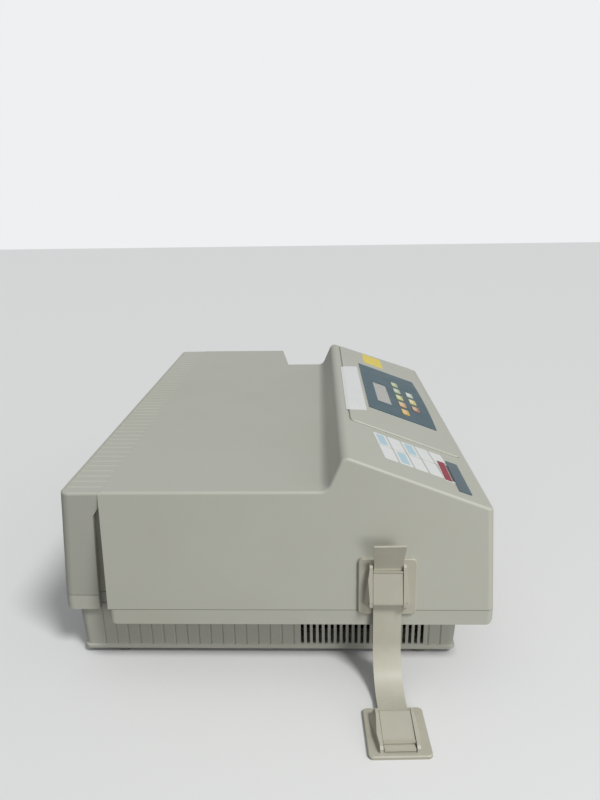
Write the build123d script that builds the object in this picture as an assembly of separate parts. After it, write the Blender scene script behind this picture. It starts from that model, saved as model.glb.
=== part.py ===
from build123d import *
import math
import os

# Driving dimensions, millimetres. x runs to the operator's right, y to the back, z up.
# They are written about the middle of the case, and the parts are moved at the end
# so that the origin is under the middle of the whole object.

# Case outline
case_half_width = 290.0
case_front = -190.0
case_rear = 204.0
wing_rear = case_rear - 48.0
rear_half_width = case_half_width - 23.0
top_half_width = case_half_width - 4.0
top_rear = case_rear - 14.0
foot_height = 6.0
seam_height = 69.0
seam_gap = 0.6
rim_height = 15.0
top_height = 181.5
wall = 3.0
face_gap = 0.3

# Console, drawn in side view
console_foot_y = -41.5
ridge_y = -55.5
ridge_rise = 32.0
ridge_height = top_height + ridge_rise
front_edge_y = case_front + 5.0
front_edge_height = top_height - 17.0
foot_curve = 10.0
ridge_curve = 7.0
front_corner = 6.0
top_edge = 2.6

# Bay at the right front, where the drawer comes out
bay_wall_x = 184.0
bay_deck_height = 78.0
bay_step_y = 10.5
bay_step_rise = 0.13
brow_height = 125.0
brow_start_y = -50.0
brow_slant = 0.16

# Rear section, its side channels and the ribbed band on top
channel_depth = 6.5
channel_front_top = top_height - 13.5
channel_back_top = top_height - 24.5
channel_back_y = case_rear - 40.5
channel_seam_y = case_rear - 32.5
band_front = case_rear - 51.0
band_margin = 2.5
band_depth = 0.6
rib_pitch = 12.4
rib_width = 3.2
rib_depth = 1.3
rear_corner = 8.0

# Base tray
skirt_half_width = case_half_width - 32.0
skirt_front = case_front + 27.0
skirt_rear = case_rear - 12.0
skirt_draft = 4.0
skirt_corner = 6.0
lip_height = 4.0
lip_width = 1.5
rim_corner = 7.0
rear_rim_corner = 4.0
groove_pitch = 11.4
groove_width = 2.4
groove_depth = 1.2
groove_start = -9.7
groove_count = 17
slot_width = 3.0
slot_count = 21
slot_bottom = 11.0
slot_top = 51.0

# Case screws and rubber feet
boss_radius = 5.0
boss_x = case_half_width - 15.0
boss_rows = (case_front + 40.0, 0.0, wing_rear - 26.0)
screw_radius = 2.0
screw_head_radius = 4.0
screw_head_height = 2.4
screw_length = 16.0
foot_radius = 12.0
foot_inset = 12.5
foot_front_y = skirt_front + 32.0
foot_rear_y = skirt_rear - 37.0
foot_stem_radius = 4.0

# Console panel, keypad and display; along is measured down the slope from the ridge
panel_left = -174.0
panel_back = 12.0
panel_front = 130.0
panel_margin = 4.0
panel_corner = 5.0
panel_thickness = 3.0
panel_proud = 1.5
panel_gap = 0.5
panel_ledge = 8.0
overlay_left = -105.0
overlay_right = 102.0
overlay_back = 37.0
overlay_front = 117.0
overlay_bow = 2.5
overlay_thickness = 0.6
display_left = -64.0
display_right = 22.0
display_back = 51.0
display_front = 69.0
window_border = 3.0
window_thickness = 1.5
module_side = 15.0
module_end = 6.0
module_depth = 9.0
key_length = 18.0
key_width = 9.0
key_pitch = 30.0
key_first_x = 44.0
key_row_along = (83.5, 100.5)
key_rows = ((0, 1, 2, 3, 4), (1, 2, 3))
key_proud = 0.8
key_travel = 0.7
key_gap = 0.3
key_flange = 1.0
key_flange_thickness = 0.8
board_thickness = 1.6
nameplate_left = -271.0
nameplate_right = -200.0
nameplate_back = 109.0
nameplate_front = 121.0
nameplate_thickness = 0.8

# Plate drawer
plate_length = 127.76
plate_width = 85.48
plate_slack = 0.6
drawer_middle_y = -113.0
drawer_lip = 6.0
drawer_tail_lip = 10.5
drawer_bottom = 86.0
drawer_floor = 3.0
drawer_wall_height = 4.0
front_thickness = 4.0
front_bottom = 82.0
front_top = 112.0
front_gap = 0.6
drawer_in = 100.0
window_slack = 8.0
tail_length = 20.0
rod_radius = 4.0
rod_offset = 9.0
rod_height = 94.0
rod_end_x = 180.4
rod_post = 5.0
bush_wall = 3.0
bush_clearance = 0.08
carrier_thickness = 6.0
carrier_height = 58.0
carrier_margin = 12.0
bracket_thickness = 10.0

# Belt drive of the drawer
pulley_radius = 8.0
pulley_flange = 1.5
belt_width = 6.0
belt_thickness = 1.5
belt_gap = 0.3
belt_height = 88.0
motor_size = 42.0
motor_height = 34.0
shaft_radius = 2.5
shaft_clearance = 0.08
pawl_radius = 4.0
pawl_length = 13.0

# Reading optics
read_x = 66.0
head_height = 116.0
head_depth = 24.0
head_rise = 30.0
channel_pitch = 9.0
channel_count = 8
lens_radius = 3.0
lens_length = 6.0
detector_height = 70.0

# Light source and monochromator
mono_left = -205.0
mono_right = -65.0
mono_front = -8.0
mono_back = case_rear - 88.0
mono_bottom = 30.0
mono_top = 96.0
mono_wall = 4.0
lid_thickness = 2.5
grating_x = -165.0
grating_y = 56.0
wheel_x = -84.0
wheel_radius = 24.0
wheel_holes = 6
lamp_depth = 44.0
guide_radius = 4.0

# Supports and electronics
chassis_thickness = 2.0
chassis_half_width = skirt_half_width - 18.0
chassis_front = skirt_front + 13.0
chassis_rear = case_rear - 18.0
standoff_height = 4.0
panel_sheet = 2.0
connector_left = 34.0
connector_right = 246.0
connector_bottom = 76.0
connector_top = top_height - 33.5
supply_left = 60.0
supply_right = 224.0
supply_front = 40.0
supply_back = case_rear - 54.0
supply_top = 62.0
board_height = 72.0
fan_size = 60.0
fan_depth = 15.0
fan_x = -170.0
fan_height = top_height - 56.5
fan_gap = 1.0
fan_blades = 7
grille_bar = 3.4

# Power inlet, switch and data ports
inlet_x = 78.0
inlet_z = 112.0
rocker_x = 118.0
rocker_swing = 16.0
serial_x = 158.0
printer_x = 208.0
port_z = 112.0
jack_spacing_serial = 24.99
jack_spacing_printer = 47.04
jack_hole_radius = 1.42
jack_radius = 2.6
jack_length = 5.0

# Bench strap
strap_y = -94.5
strap_plate_width = 51.0
strap_plate_length = 54.0
strap_plate_thickness = 3.0
strap_plate_corner = 4.0
strap_upper_z = 93.3
strap_reach = 71.3
strap_turn = 2.0
strap_width = 25.0
strap_thickness = 1.8
strap_lift = 1.2
strap_tail = 28.0
strap_tail_lean = 0.42
strap_tail_flare = 1.7
strap_bend = 36.0
rail_inner = 13.3
rail_width = 2.8
rail_start = -15.6
rail_end = 23.5
rail_overhang = 0.4
gusset_width = 5.0
lever_length = 32.0
lever_side_gap = 0.4
lever_clearance = 0.8
lever_barrel = 3.05
lever_end_thickness = 1.3
lever_lip = 0.8
lever_pin_radius = 1.5
lever_pin_clearance = 0.08


# Plain helpers
def block(x0, x1, y0, y1, z0, z1):
    middle = Pos((x0 + x1) / 2, (y0 + y1) / 2, (z0 + z1) / 2)
    return middle * Box(abs(x1 - x0), abs(y1 - y0), abs(z1 - z0))


def outline(points, rounds=()):
    face = Polygon(*points, align=None)
    for spot, radius in rounds:
        corner = face.vertices().sort_by_distance((spot[0], spot[1], 0))[0]
        face = fillet(corner, radius)
    return face


def along_x(face, x0, x1):
    return extrude(Plane.YZ.offset(x0) * face, x1 - x0, dir=(1, 0, 0))


def along_y(face, y0, y1):
    return extrude(Plane.XZ.offset(-y1) * face, y1 - y0, dir=(0, -1, 0))


def along_z(face, z0, z1):
    return extrude(Plane.XY.offset(z0) * face, z1 - z0, dir=(0, 0, 1))


def grown(face, amount):
    if amount == 0:
        return face
    return offset(face, amount, kind=Kind.INTERSECTION)


def rod(radius, start, end):
    start, end = Vector(*start), Vector(*end)
    way = end - start
    return extrude(Plane(origin=start, z_dir=way) * Circle(radius), way.length)


def mirrored(solid):
    return mirror(solid, Plane.YZ)


def group(pieces):
    return Compound([solid for piece in pieces for solid in piece.solids()])


def between(low, high, share):
    return low + (high - low) * share


# Heights, slopes and planes worked out from the driving dimensions
rim_bottom = seam_height - rim_height
rim_top = seam_height - seam_gap
shelf_top = rim_bottom + wall
side_slope = (case_half_width - top_half_width) / (top_height - seam_height)
rear_side_slope = (rear_half_width - top_half_width) / (top_height - seam_height)
rear_slope = (case_rear - top_rear) / (top_height - seam_height)
reach = case_half_width + 40.0
strap_lower_x = -case_half_width - strap_reach
slope_run = ridge_y - front_edge_y
slope_fall = ridge_height - front_edge_height
slope_length = math.hypot(slope_run, slope_fall)
slope_normal = (0, -slope_fall / slope_length, slope_run / slope_length)
slope_plane = Plane(origin=(0, ridge_y, ridge_height), x_dir=(1, 0, 0), z_dir=slope_normal)


def side_half_width(z):
    return case_half_width - side_slope * (z - seam_height)


def rear_section_half_width(z):
    return rear_half_width - rear_side_slope * (z - seam_height)


def rear_section_y(z):
    return case_rear - rear_slope * (z - seam_height)


def on_slope(face, low, high):
    return extrude(slope_plane.offset(low) * face, high - low, dir=slope_normal)


# Cover: the wing with its console
def wing_body(inset, floor):
    points = [(wing_rear, floor), (wing_rear, top_height), (console_foot_y, top_height),
              (ridge_y, ridge_height), (front_edge_y, front_edge_height),
              (case_front, seam_height), (case_front, floor)]
    rounds = [((console_foot_y, top_height), foot_curve), ((ridge_y, ridge_height), ridge_curve)]
    side = grown(outline(points, rounds), -inset)
    low, high = side_half_width(floor) - inset, side_half_width(ridge_height) - inset
    ends = Polygon((-low, floor), (low, floor), (high, ridge_height), (-high, ridge_height), align=None)
    return along_x(side, -reach, reach) & along_y(ends, case_front - wall, case_rear)


def rounded_wing():
    body = wing_body(0, seam_height)
    middle_z = (seam_height + front_edge_height) / 2
    corners = [body.edges().sort_by_distance((side * case_half_width, case_front, middle_z))[0]
               for side in (-1, 1)]
    body = fillet(corners, front_corner)
    ends = [body.faces().sort_by(Axis.X)[0], body.faces().sort_by(Axis.X)[-1]]
    rims = [edge for face in ends for edge in face.edges()]
    low = front_edge_height - 1
    rims = [edge for edge in rims if min(v.Z for v in edge.vertices()) > low]
    front = body.edges().filter_by(Axis.X).sort_by_distance((0, front_edge_y, front_edge_height))[0]
    arcs = [edge for edge in body.edges().filter_by(GeomType.LINE, reverse=True)
            if edge.center().Y < front_edge_y + front_corner and edge.center().Z > front_edge_height - 4]
    return fillet(rims + [front] + arcs, top_edge)


# Cover: the narrower rear section behind the wings
def rear_body(inset, floor):
    faces = []
    for z in (floor, top_height - inset):
        half = rear_section_half_width(z) - inset
        back = rear_section_y(z) - inset
        front = band_front - 60.0
        face = Pos(0, (front + back) / 2) * RectangleRounded(2 * half, back - front, rear_corner - inset)
        faces.append(Plane.XY.offset(z) * face)
    return loft(faces)


def rounded_rear():
    body = rear_body(0, seam_height)
    top = body.faces().sort_by(Axis.Z)[-1]
    rims = [edge for edge in top.edges() if edge.center().Y > band_front - 40]
    return fillet(rims, top_edge)


def channel(grow, floor):
    side = Polygon((wing_rear, floor), (channel_seam_y, floor), (channel_seam_y, seam_height),
                   (channel_back_y, channel_back_top), (wing_rear, channel_front_top), align=None)
    side = grown(side, grow)
    deep = rear_half_width - channel_depth
    rise = top_height - seam_height
    end = Polygon((-reach, floor), (-deep, floor), (-deep, seam_height),
                  (-deep + rear_side_slope * rise, top_height), (-reach, top_height), align=None)
    end = grown(end, grow)
    left = along_x(side, -reach - grow, -deep + grow) & along_y(end, wing_rear - 2 * wall, case_rear)
    return [left, mirrored(left)]


# Bay at the right front; grow adds the wall that is left around it
def bay(grow):
    far = reach
    step_far = bay_step_y + (far - bay_wall_x) * bay_step_rise
    front = case_front - 20.0
    low = Polygon((bay_wall_x, front), (far, front), (far, step_far), (bay_wall_x, bay_step_y), align=None)
    brow_x = bay_wall_x + (brow_start_y - front) * brow_slant
    high = Polygon((brow_x, front), (far, front), (far, step_far), (bay_wall_x, bay_step_y),
                   (bay_wall_x, brow_start_y), align=None)
    lower = along_z(grown(low, grow), bay_deck_height - grow, brow_height + grow)
    upper = along_z(grown(high, grow), brow_height - grow, ridge_height + 10)
    return lower + upper


def panel_outline(shrink):
    right_back = bay_wall_x - panel_margin
    brow_run = brow_start_y - (ridge_y - panel_front * slope_run / slope_length)
    right_front = bay_wall_x + brow_run * brow_slant - panel_margin
    face = Polygon((panel_left, -panel_back), (right_back, -panel_back), (right_front, -panel_front),
                   (panel_left, -panel_front), align=None)
    face = fillet(face.vertices(), panel_corner)
    return grown(face, -shrink)


def band_ribs():
    half = rear_section_half_width(top_height)
    surface = top_height - band_depth
    back = top_rear - band_margin
    cutters = [block(-reach, reach, band_front, back, surface, top_height + 1)]
    count = int((half - rib_pitch) / rib_pitch)
    for step in range(-count, count + 1):
        x = step * rib_pitch
        vee = Polygon((x - rib_width / 2, surface + 0.01), (x + rib_width / 2, surface + 0.01),
                      (x, surface - rib_depth), align=None)
        cutters.append(along_y(vee, band_front, back))
    return cutters


def cover_bosses():
    pieces = []
    top = bay_deck_height - wall / 2
    for y in boss_rows:
        for side in (-1, 1):
            post = rod(boss_radius, (side * boss_x, y, shelf_top), (side * boss_x, y, top))
            wall_x = side * (side_half_width(seam_height) - wall / 2)
            web = block(side * boss_x, wall_x, y - 1.5, y + 1.5, seam_height, top)
            pieces += [post, web]
    return pieces


def boss_holes(radius, low, high):
    return [rod(radius, (side * boss_x, y, low), (side * boss_x, y, high))
            for y in boss_rows for side in (-1, 1)]


def rear_openings():
    back = case_rear + 5
    front = top_rear - 15
    cuts = [block(connector_left, connector_right, front, back, connector_bottom, connector_top)]
    bars = int(fan_size / (2 * grille_bar))
    for step in range(bars):
        x = fan_x + (step - (bars - 1) / 2) * 2 * grille_bar
        low, high = fan_height - fan_size / 2 + 4, fan_height + fan_size / 2 - 4
        cuts.append(block(x - grille_bar / 2, x + grille_bar / 2, front, back, low, high))
    return cuts


def drawer_half_width():
    return (plate_width + plate_slack) / 2 + drawer_lip


def front_half_width():
    return drawer_half_width() + rod_offset / 2 - 1


def front_opening(gap):
    half = front_half_width() + gap
    return block(bay_wall_x - 2 * wall, bay_wall_x + 1, drawer_middle_y - half, drawer_middle_y + half,
                 front_bottom - gap, front_top + gap)


def make_top_cover():
    shell = rounded_wing() + rounded_rear()
    shell = shell - channel(0, seam_height - 20) - bay(0) - band_ribs()
    floor = seam_height - 20
    hollow = wing_body(wall, floor) + rear_body(wall, floor)
    hollow = hollow - channel(wall, floor - 10) - bay(wall)
    shell = shell - hollow
    shell = shell - on_slope(panel_outline(-panel_gap), panel_proud - panel_thickness, 3 * wall)
    shell = shell - on_slope(panel_outline(panel_ledge), -4 * wall, 3 * wall)
    shell = shell + cover_bosses()
    shell = shell - boss_holes(screw_radius, rim_bottom, seam_height + 2)
    return shell - rear_openings() - front_opening(front_gap)


# Base tray
def skirt_body(inset, floor, top):
    low = floor - foot_height
    spread = math.tan(math.radians(skirt_draft)) * low
    half = skirt_half_width - inset + spread
    front, back = skirt_front + inset - spread, skirt_rear - inset + spread
    face = Pos(0, (front + back) / 2) * RectangleRounded(2 * half, back - front, skirt_corner)
    return extrude(Plane.XY.offset(floor) * face, top - floor, taper=-skirt_draft)


def rim_body(inset, floor, top):
    wing = outline([(case_front, rim_bottom), (wing_rear, rim_bottom), (wing_rear, top), (case_front, top)],
                   [((case_front, rim_bottom), rim_corner), ((wing_rear, rim_bottom), rim_corner)])
    start = band_front - 60.0
    rear = outline([(start, rim_bottom), (case_rear, rim_bottom), (case_rear, top), (start, top)],
                   [((case_rear, rim_bottom), rear_rim_corner)])
    rims = []
    for side, half, corner in ((wing, case_half_width, front_corner), (rear, rear_half_width, rear_corner)):
        back = side.bounding_box().max.X - inset
        front = side.bounding_box().min.X + inset
        plan = Pos(0, (front + back) / 2) * RectangleRounded(2 * (half - inset), back - front,
                                                             corner - inset / 2)
        body = along_x(side, -half + inset, half - inset) & along_z(plan, floor, top)
        rims.append(body if inset == 0 else body & block(-reach, reach, case_front, case_rear, floor, top))
    return rims[0] + rims[1]


def skirt_face(z):
    return skirt_half_width + math.tan(math.radians(skirt_draft)) * (z - foot_height)


def skirt_grooves():
    low = foot_height + lip_height
    rise = rim_bottom - low
    lean = math.tan(math.radians(skirt_draft))
    rows = [groove_start + step * groove_pitch for step in range(groove_count)]
    slots_end = groove_start - 1.5 * groove_pitch / 2 - (slot_count - 1) * groove_pitch / 2
    rows += [slots_end - groove_pitch / 2 - step * groove_pitch for step in range(2)]
    cutters = []
    for y in rows:
        face_x = skirt_face(low)
        vee = Polygon((-face_x - 1, y - groove_width), (-face_x - 1, y + groove_width),
                      (-face_x + groove_depth, y), align=None)
        cutter = extrude(Plane.XY.offset(low) * vee, rise * math.hypot(1, lean), dir=(-lean, 0, 1))
        cutters += [cutter, mirrored(cutter)]
    columns = int((skirt_half_width - groove_pitch) / groove_pitch)
    for step in range(-columns, columns + 1):
        x = step * groove_pitch
        for edge, side in ((skirt_front, -1), (skirt_rear, 1)):
            face_y = edge + side * lean * lip_height
            vee = Polygon((x - groove_width, face_y + side), (x + groove_width, face_y + side),
                          (x, face_y - side * groove_depth), align=None)
            cutters.append(extrude(Plane.XY.offset(low) * vee, rise * math.hypot(1, lean),
                                   dir=(0, side * lean, 1)))
    return cutters


def skirt_slots():
    first = groove_start - 1.5 * groove_pitch / 2
    cutters = []
    for step in range(slot_count):
        y = first - step * groove_pitch / 2
        cutter = block(-skirt_half_width - 2 * wall, -skirt_half_width + 2 * wall, y - slot_width / 2,
                       y + slot_width / 2,
                       slot_bottom, slot_top)
        cutters += [cutter, mirrored(cutter)]
    return cutters


def make_base_tray():
    outer = skirt_body(0, foot_height, shelf_top)
    lip_plan = Pos(0, (skirt_front + skirt_rear) / 2) * RectangleRounded(
        2 * (skirt_half_width + lip_width), skirt_rear - skirt_front + 2 * lip_width, skirt_corner)
    lip = along_z(lip_plan, foot_height, foot_height + lip_height)
    top_rim = lip.faces().sort_by(Axis.Z)[-1].edges()
    lip = chamfer(top_rim, lip_width * 0.9)
    outer = outer - skirt_grooves()
    outer = outer + lip + (rim_body(0, rim_bottom, rim_top) - channel(0, rim_bottom - 10))
    floor = foot_height + wall
    hollow = rim_body(wall, shelf_top, seam_height + 1) - channel(wall, rim_bottom - 10)
    tray = outer - skirt_body(wall, floor, shelf_top + 1) - hollow - skirt_slots()
    posts = [rod(boss_radius, (x, y, floor), (x, y, floor + standoff_height)) for x, y in standoff_spots()]
    holes = boss_holes(screw_radius + 0.2, rim_bottom - 1, shelf_top + 1)
    recesses = [rod(foot_stem_radius, (x, y, foot_height - 1), (x, y, foot_height + wall))
                for x, y in foot_spots()]
    return tray + posts - holes - recesses


def standoff_spots():
    half = chassis_half_width - 12
    front, back = chassis_front + 12, chassis_rear - 18
    return [(x, y) for x in (-half, 0, half) for y in (front, back)]


def foot_spots():
    x = skirt_half_width - foot_inset
    return [(side * x, y) for side in (-1, 1) for y in (foot_front_y, foot_rear_y)]


def make_feet():
    feet = []
    for x, y in foot_spots():
        profile = outline([(0, 0), (foot_radius - 2.5, 0), (foot_radius - 1, 1.5), (foot_radius, foot_height),
                           (foot_stem_radius, foot_height), (foot_stem_radius, foot_height + wall),
                           (0, foot_height + wall)])
        feet.append(Pos(x, y, 0) * revolve(Plane.XZ * profile, Axis.Z))
    return group(feet)


def make_case_screws():
    screws = []
    for y in boss_rows:
        for side in (-1, 1):
            x = side * boss_x
            head = rod(screw_head_radius, (x, y, rim_bottom - screw_head_height), (x, y, rim_bottom))
            head = chamfer(head.faces().sort_by(Axis.Z)[0].edges(), screw_head_height * 0.4)
            cross = block(x - 2, x + 2, y - 0.5, y + 0.5, rim_bottom - screw_head_height, rim_bottom - 1.2)
            shank = rod(screw_radius - 0.02, (x, y, rim_bottom), (x, y, rim_bottom + screw_length))
            screws.append(head - cross - Pos(x, y) * Rot(0, 0, 90) * Pos(-x, -y) * cross + shank)
    return group(screws)


# Console panel with keypad and display
def display_outline(border):
    return Pos((display_left + display_right) / 2, -(display_back + display_front) / 2) * RectangleRounded(
        display_right - display_left + 2 * border, display_front - display_back + 2 * border, 1.5)


def key_spots():
    spots = []
    for row, columns in zip(key_row_along, key_rows):
        spots += [(key_first_x - column * key_pitch, -row) for column in columns]
    return spots


def key_outlines(grow):
    return [Pos(x, y) * RectangleRounded(key_length + 2 * grow, key_width + 2 * grow, 1.2)
            for x, y in key_spots()]


def make_console_panel():
    low = panel_proud - panel_thickness
    panel = on_slope(panel_outline(0), low, panel_proud)
    top = panel.faces().sort_by_distance(slope_plane.from_local_coords((0, -70, panel_proud)))[0]
    panel = chamfer(top.edges(), 0.6)
    panel = panel - on_slope(display_outline(window_border + panel_gap / 2), low - 1, panel_proud + 1)
    return panel - [on_slope(face, low - 1, panel_proud + 1) for face in key_outlines(key_gap)]


def make_keypad_overlay():
    middle = (overlay_left + overlay_right) / 2
    edge = Polyline((overlay_right, -overlay_front), (overlay_right, -overlay_back),
                    (overlay_left, -overlay_back),
                    (overlay_left, -overlay_front))
    bow = ThreePointArc((overlay_left, -overlay_front), (middle, -overlay_front - overlay_bow),
                        (overlay_right, -overlay_front))
    face = make_face([edge, bow])
    top = panel_proud + overlay_thickness
    sheet = on_slope(face, panel_proud, top)
    sheet = sheet - on_slope(display_outline(0), panel_proud - 1, top + 1)
    return sheet - [on_slope(face, panel_proud - 1, top + 1) for face in key_outlines(key_gap)]


def make_lcd_window():
    return on_slope(display_outline(window_border), panel_proud - window_thickness, panel_proud)


def make_lcd_module():
    top = panel_proud - window_thickness
    low = top - module_depth
    bezel = on_slope(display_outline(window_border), low, top - 0.5)
    left, right = display_left - module_side, display_right + module_side
    back, front = display_back - module_end, display_front + module_end
    plan = Pos((left + right) / 2, -(back + front) / 2) * Rectangle(right - left, front - back)
    board = on_slope(plan, low - board_thickness, low)
    under = panel_proud - panel_thickness
    posts = []
    for x in (left + 3, right - 3):
        for y in (back + 3, front - 3):
            posts.append(on_slope(Pos(x, -y) * Circle(2), low, under))
    glass = on_slope(display_outline(0), top - 0.5, top)
    return bezel + board + glass + posts


def key_flange_top():
    return panel_proud - panel_thickness - 0.3


def make_key(number):
    spot = key_spots()[number]
    top = panel_proud + overlay_thickness + key_proud
    low = key_flange_top() - key_flange_thickness
    cap = Pos(*spot) * RectangleRounded(key_length, key_width, 1.2)
    rim = Pos(*spot) * RectangleRounded(key_length + 2 * key_flange, key_width + 2 * key_flange, 1.2)
    body = on_slope(cap, low, top)
    crown = body.faces().sort_by_distance(slope_plane.from_local_coords((spot[0], spot[1], top)))[0]
    body = chamfer(crown.edges(), 0.4)
    return body + on_slope(rim, low, key_flange_top())


def make_key_board():
    top = key_flange_top() - key_flange_thickness - key_travel - 0.4
    xs = [spot[0] for spot in key_spots()]
    ys = [spot[1] for spot in key_spots()]
    half = key_length / 2 + 12
    left, right = min(xs) - half, max(xs) + half
    back, front = max(ys) + key_width, min(ys) - key_width
    face = Pos((left + right) / 2, (back + front) / 2) * Rectangle(right - left, back - front)
    board = on_slope(face, top - board_thickness, top)
    under = panel_proud - panel_thickness
    posts = [on_slope(Pos(x, y) * Circle(2.5), top, under) for x in (left + 4, right - 4)
             for y in (back - 4, front + 4)]
    return board + posts


def make_nameplate():
    face = Pos((nameplate_left + nameplate_right) / 2,
               -(nameplate_back + nameplate_front) / 2) * RectangleRounded(
        nameplate_right - nameplate_left, nameplate_front - nameplate_back, 1)
    return on_slope(face, 0, nameplate_thickness)


# Plate drawer; the plate lies with its long side along the travel
pocket_length = plate_length + plate_slack
pocket_width = plate_width + plate_slack
drawer_right = bay_wall_x - front_thickness
drawer_left = drawer_right - drawer_lip - pocket_length - drawer_tail_lip
pocket_left = drawer_left + drawer_tail_lip
pocket_right = pocket_left + pocket_length
pocket_front = drawer_middle_y - pocket_width / 2
pocket_back = drawer_middle_y + pocket_width / 2
drawer_front_y = drawer_middle_y - drawer_half_width()
drawer_back_y = drawer_middle_y + drawer_half_width()
drawer_floor_top = drawer_bottom + drawer_floor
tail_right = drawer_left
tail_left = tail_right - tail_length
rod_front_y = drawer_front_y - rod_offset
rod_back_y = drawer_back_y + rod_offset
rods_left = tail_left - drawer_in - 14.0
block_reach = rod_radius + bush_wall
carrier_left = rods_left - 40.0
pulley_y = rod_back_y + block_reach + 2.0 + pulley_radius + belt_thickness + belt_gap
motor_x = rods_left - 14.0
idler_x = rod_end_x - pulley_radius - 2.4


def make_drawer_tray():
    low, high = drawer_bottom, drawer_floor_top + drawer_wall_height
    tray = block(drawer_left, drawer_right, drawer_front_y, drawer_back_y, low, high)
    tray = fillet(tray.edges().filter_by(Axis.Z), 3)
    tray = tray - block(pocket_left, pocket_right, pocket_front, pocket_back, drawer_floor_top, high + 1)
    tray = tray - block(pocket_left + window_slack, pocket_right - window_slack, pocket_front + window_slack,
                        pocket_back - window_slack, low - 1, high)
    for y in (pocket_front, pocket_back):
        tray = tray - rod(9, (between(pocket_left, pocket_right, 0.5), y, drawer_floor_top),
                          (between(pocket_left, pocket_right, 0.5), y, high + 1))
    pawl_x, pawl_y = pawl_spot()
    seat = rod(pawl_radius + 1.2, (pawl_x, pawl_y, drawer_floor_top), (pawl_x, pawl_y, high + 1))
    arm = block(pawl_x - 2, pawl_x + pawl_length + 3, pawl_y - 4.6, pawl_y + pawl_radius,
                drawer_floor_top, high + 1)
    tray = tray - seat - arm
    return tray + rod(1.5, (pawl_x, pawl_y, drawer_floor_top - 1), (pawl_x, pawl_y, high))


def pawl_spot():
    return pocket_left - 0.5, pocket_back + 0.5


def make_plate_pusher():
    x, y = pawl_spot()
    low, high = drawer_floor_top + face_gap, drawer_floor_top + drawer_wall_height - face_gap
    hub = rod(pawl_radius, (x, y, low), (x, y, high))
    arm = block(x, x + pawl_length, y - 1.5, y + 1.5, low, high)
    tip = rod(2.5, (x + pawl_length, y, low), (x + pawl_length, y, high))
    return hub + arm + tip - rod(1.5 + bush_clearance, (x, y, low - 1), (x, y, high + 1))


def make_drawer_front():
    half = front_half_width()
    plate = block(drawer_right, bay_wall_x, drawer_middle_y - half, drawer_middle_y + half, front_bottom,
                  front_top)
    outer = plate.faces().sort_by(Axis.X)[-1]
    plate = chamfer(outer.edges(), 0.8)
    grip_z = front_bottom + 5
    return plate - rod(2.2, (bay_wall_x + 0.6, drawer_middle_y - 30, grip_z),
                       (bay_wall_x + 0.6, drawer_middle_y + 30, grip_z))


def make_slide_block():
    low, high = rod_height - block_reach, rod_height + block_reach
    front, back = rod_front_y - block_reach, rod_back_y + block_reach
    bar = block(tail_left, tail_right, front, back, low, high)
    bar = bar - block(tail_left - 1, tail_right - 6, rod_front_y + block_reach, rod_back_y - block_reach,
                      low + 5, high + 1)
    seats = [rod(rod_radius + bush_clearance + 2, (tail_left - 1, y, rod_height),
                 (tail_right + 1, y, rod_height))
             for y in (rod_front_y, rod_back_y)]
    return bar + belt_jaw() - seats


def make_slide_bushes():
    rings = []
    for y in (rod_front_y, rod_back_y):
        for x0, x1 in ((tail_left, tail_left + 9), (tail_right - 9, tail_right)):
            ring = rod(rod_radius + bush_clearance + 2, (x0, y, rod_height), (x1, y, rod_height))
            rings.append(ring - rod(rod_radius + bush_clearance, (x0 - 1, y, rod_height),
                                    (x1 + 1, y, rod_height)))
    return group(rings)


def make_guide_rods():
    return group([rod(rod_radius, (rods_left, y, rod_height), (rod_end_x, y, rod_height))
                  for y in (rod_front_y, rod_back_y)])


def carrier_span():
    return rod_front_y - carrier_margin, pulley_y + motor_size / 2 + 3


def make_drawer_carrier():
    front, back = carrier_span()
    top = carrier_height + carrier_thickness
    plate = block(carrier_left, rod_end_x, front, back, carrier_height, top)
    plate = fillet(plate.edges().filter_by(Axis.Z), 6)
    half = head_depth / 2 + 4
    plate = plate - block(read_x + half, rod_end_x - 20, drawer_front_y + 12, drawer_back_y - 12,
                          carrier_height - 1, top + 1)
    plate = plate - rod(shaft_radius + 2, (motor_x, pulley_y, carrier_height - 1),
                        (motor_x, pulley_y, top + 1))
    leg_spots = [(carrier_left + 10, chassis_front + 8), (rod_end_x - 10, chassis_front + 8),
                 (motor_x + motor_size / 2 + 9, back - 10), (rod_end_x - 10, back - 10)]
    legs = [rod(5, (x, y, chassis_top), (x, y, carrier_height)) for x, y in leg_spots]
    low = belt_height - pulley_flange - 0.4 - face_gap
    pin = rod(shaft_radius, (idler_x, pulley_y, top), (idler_x, pulley_y, belt_height + belt_width + 5))
    collar = rod(shaft_radius + 2.5, (idler_x, pulley_y, top), (idler_x, pulley_y, low))
    pillars = [pin, collar]
    for y in (rod_front_y, rod_back_y):
        for x0, x1 in ((rods_left - bracket_thickness, rods_left), (rod_end_x - rod_post, rod_end_x)):
            post = block(x0, x1, y - 4.6, y + 4.6, top, rod_height + rod_radius + 2)
            if x1 == rod_end_x:
                post = post - rod(rod_radius, (x0 - 1, y, rod_height), (x1 + 1, y, rod_height))
            pillars.append(post)
    return plate + legs + pillars


def pulley(x, bore):
    low = belt_height - pulley_flange - 0.4
    high = belt_height + belt_width + pulley_flange + 0.4
    wheel = rod(pulley_radius, (x, pulley_y, low), (x, pulley_y, high))
    for z0, z1 in ((low, low + pulley_flange), (high - pulley_flange, high)):
        wheel = wheel + rod(pulley_radius + belt_thickness + 1, (x, pulley_y, z0), (x, pulley_y, z1))
    teeth = []
    for step in range(16):
        turn = Pos(x, pulley_y) * Rot(0, 0, step * 22.5) * Pos(pulley_radius, 0, belt_height - 0.4)
        teeth.append(turn * Box(1.2, 1.2, belt_width + 0.8, align=(Align.CENTER, Align.CENTER, Align.MIN)))
    return wheel - teeth - rod(bore, (x, pulley_y, low - 1), (x, pulley_y, high + 1))


def make_drive_pulley():
    return pulley(motor_x, shaft_radius)


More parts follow.
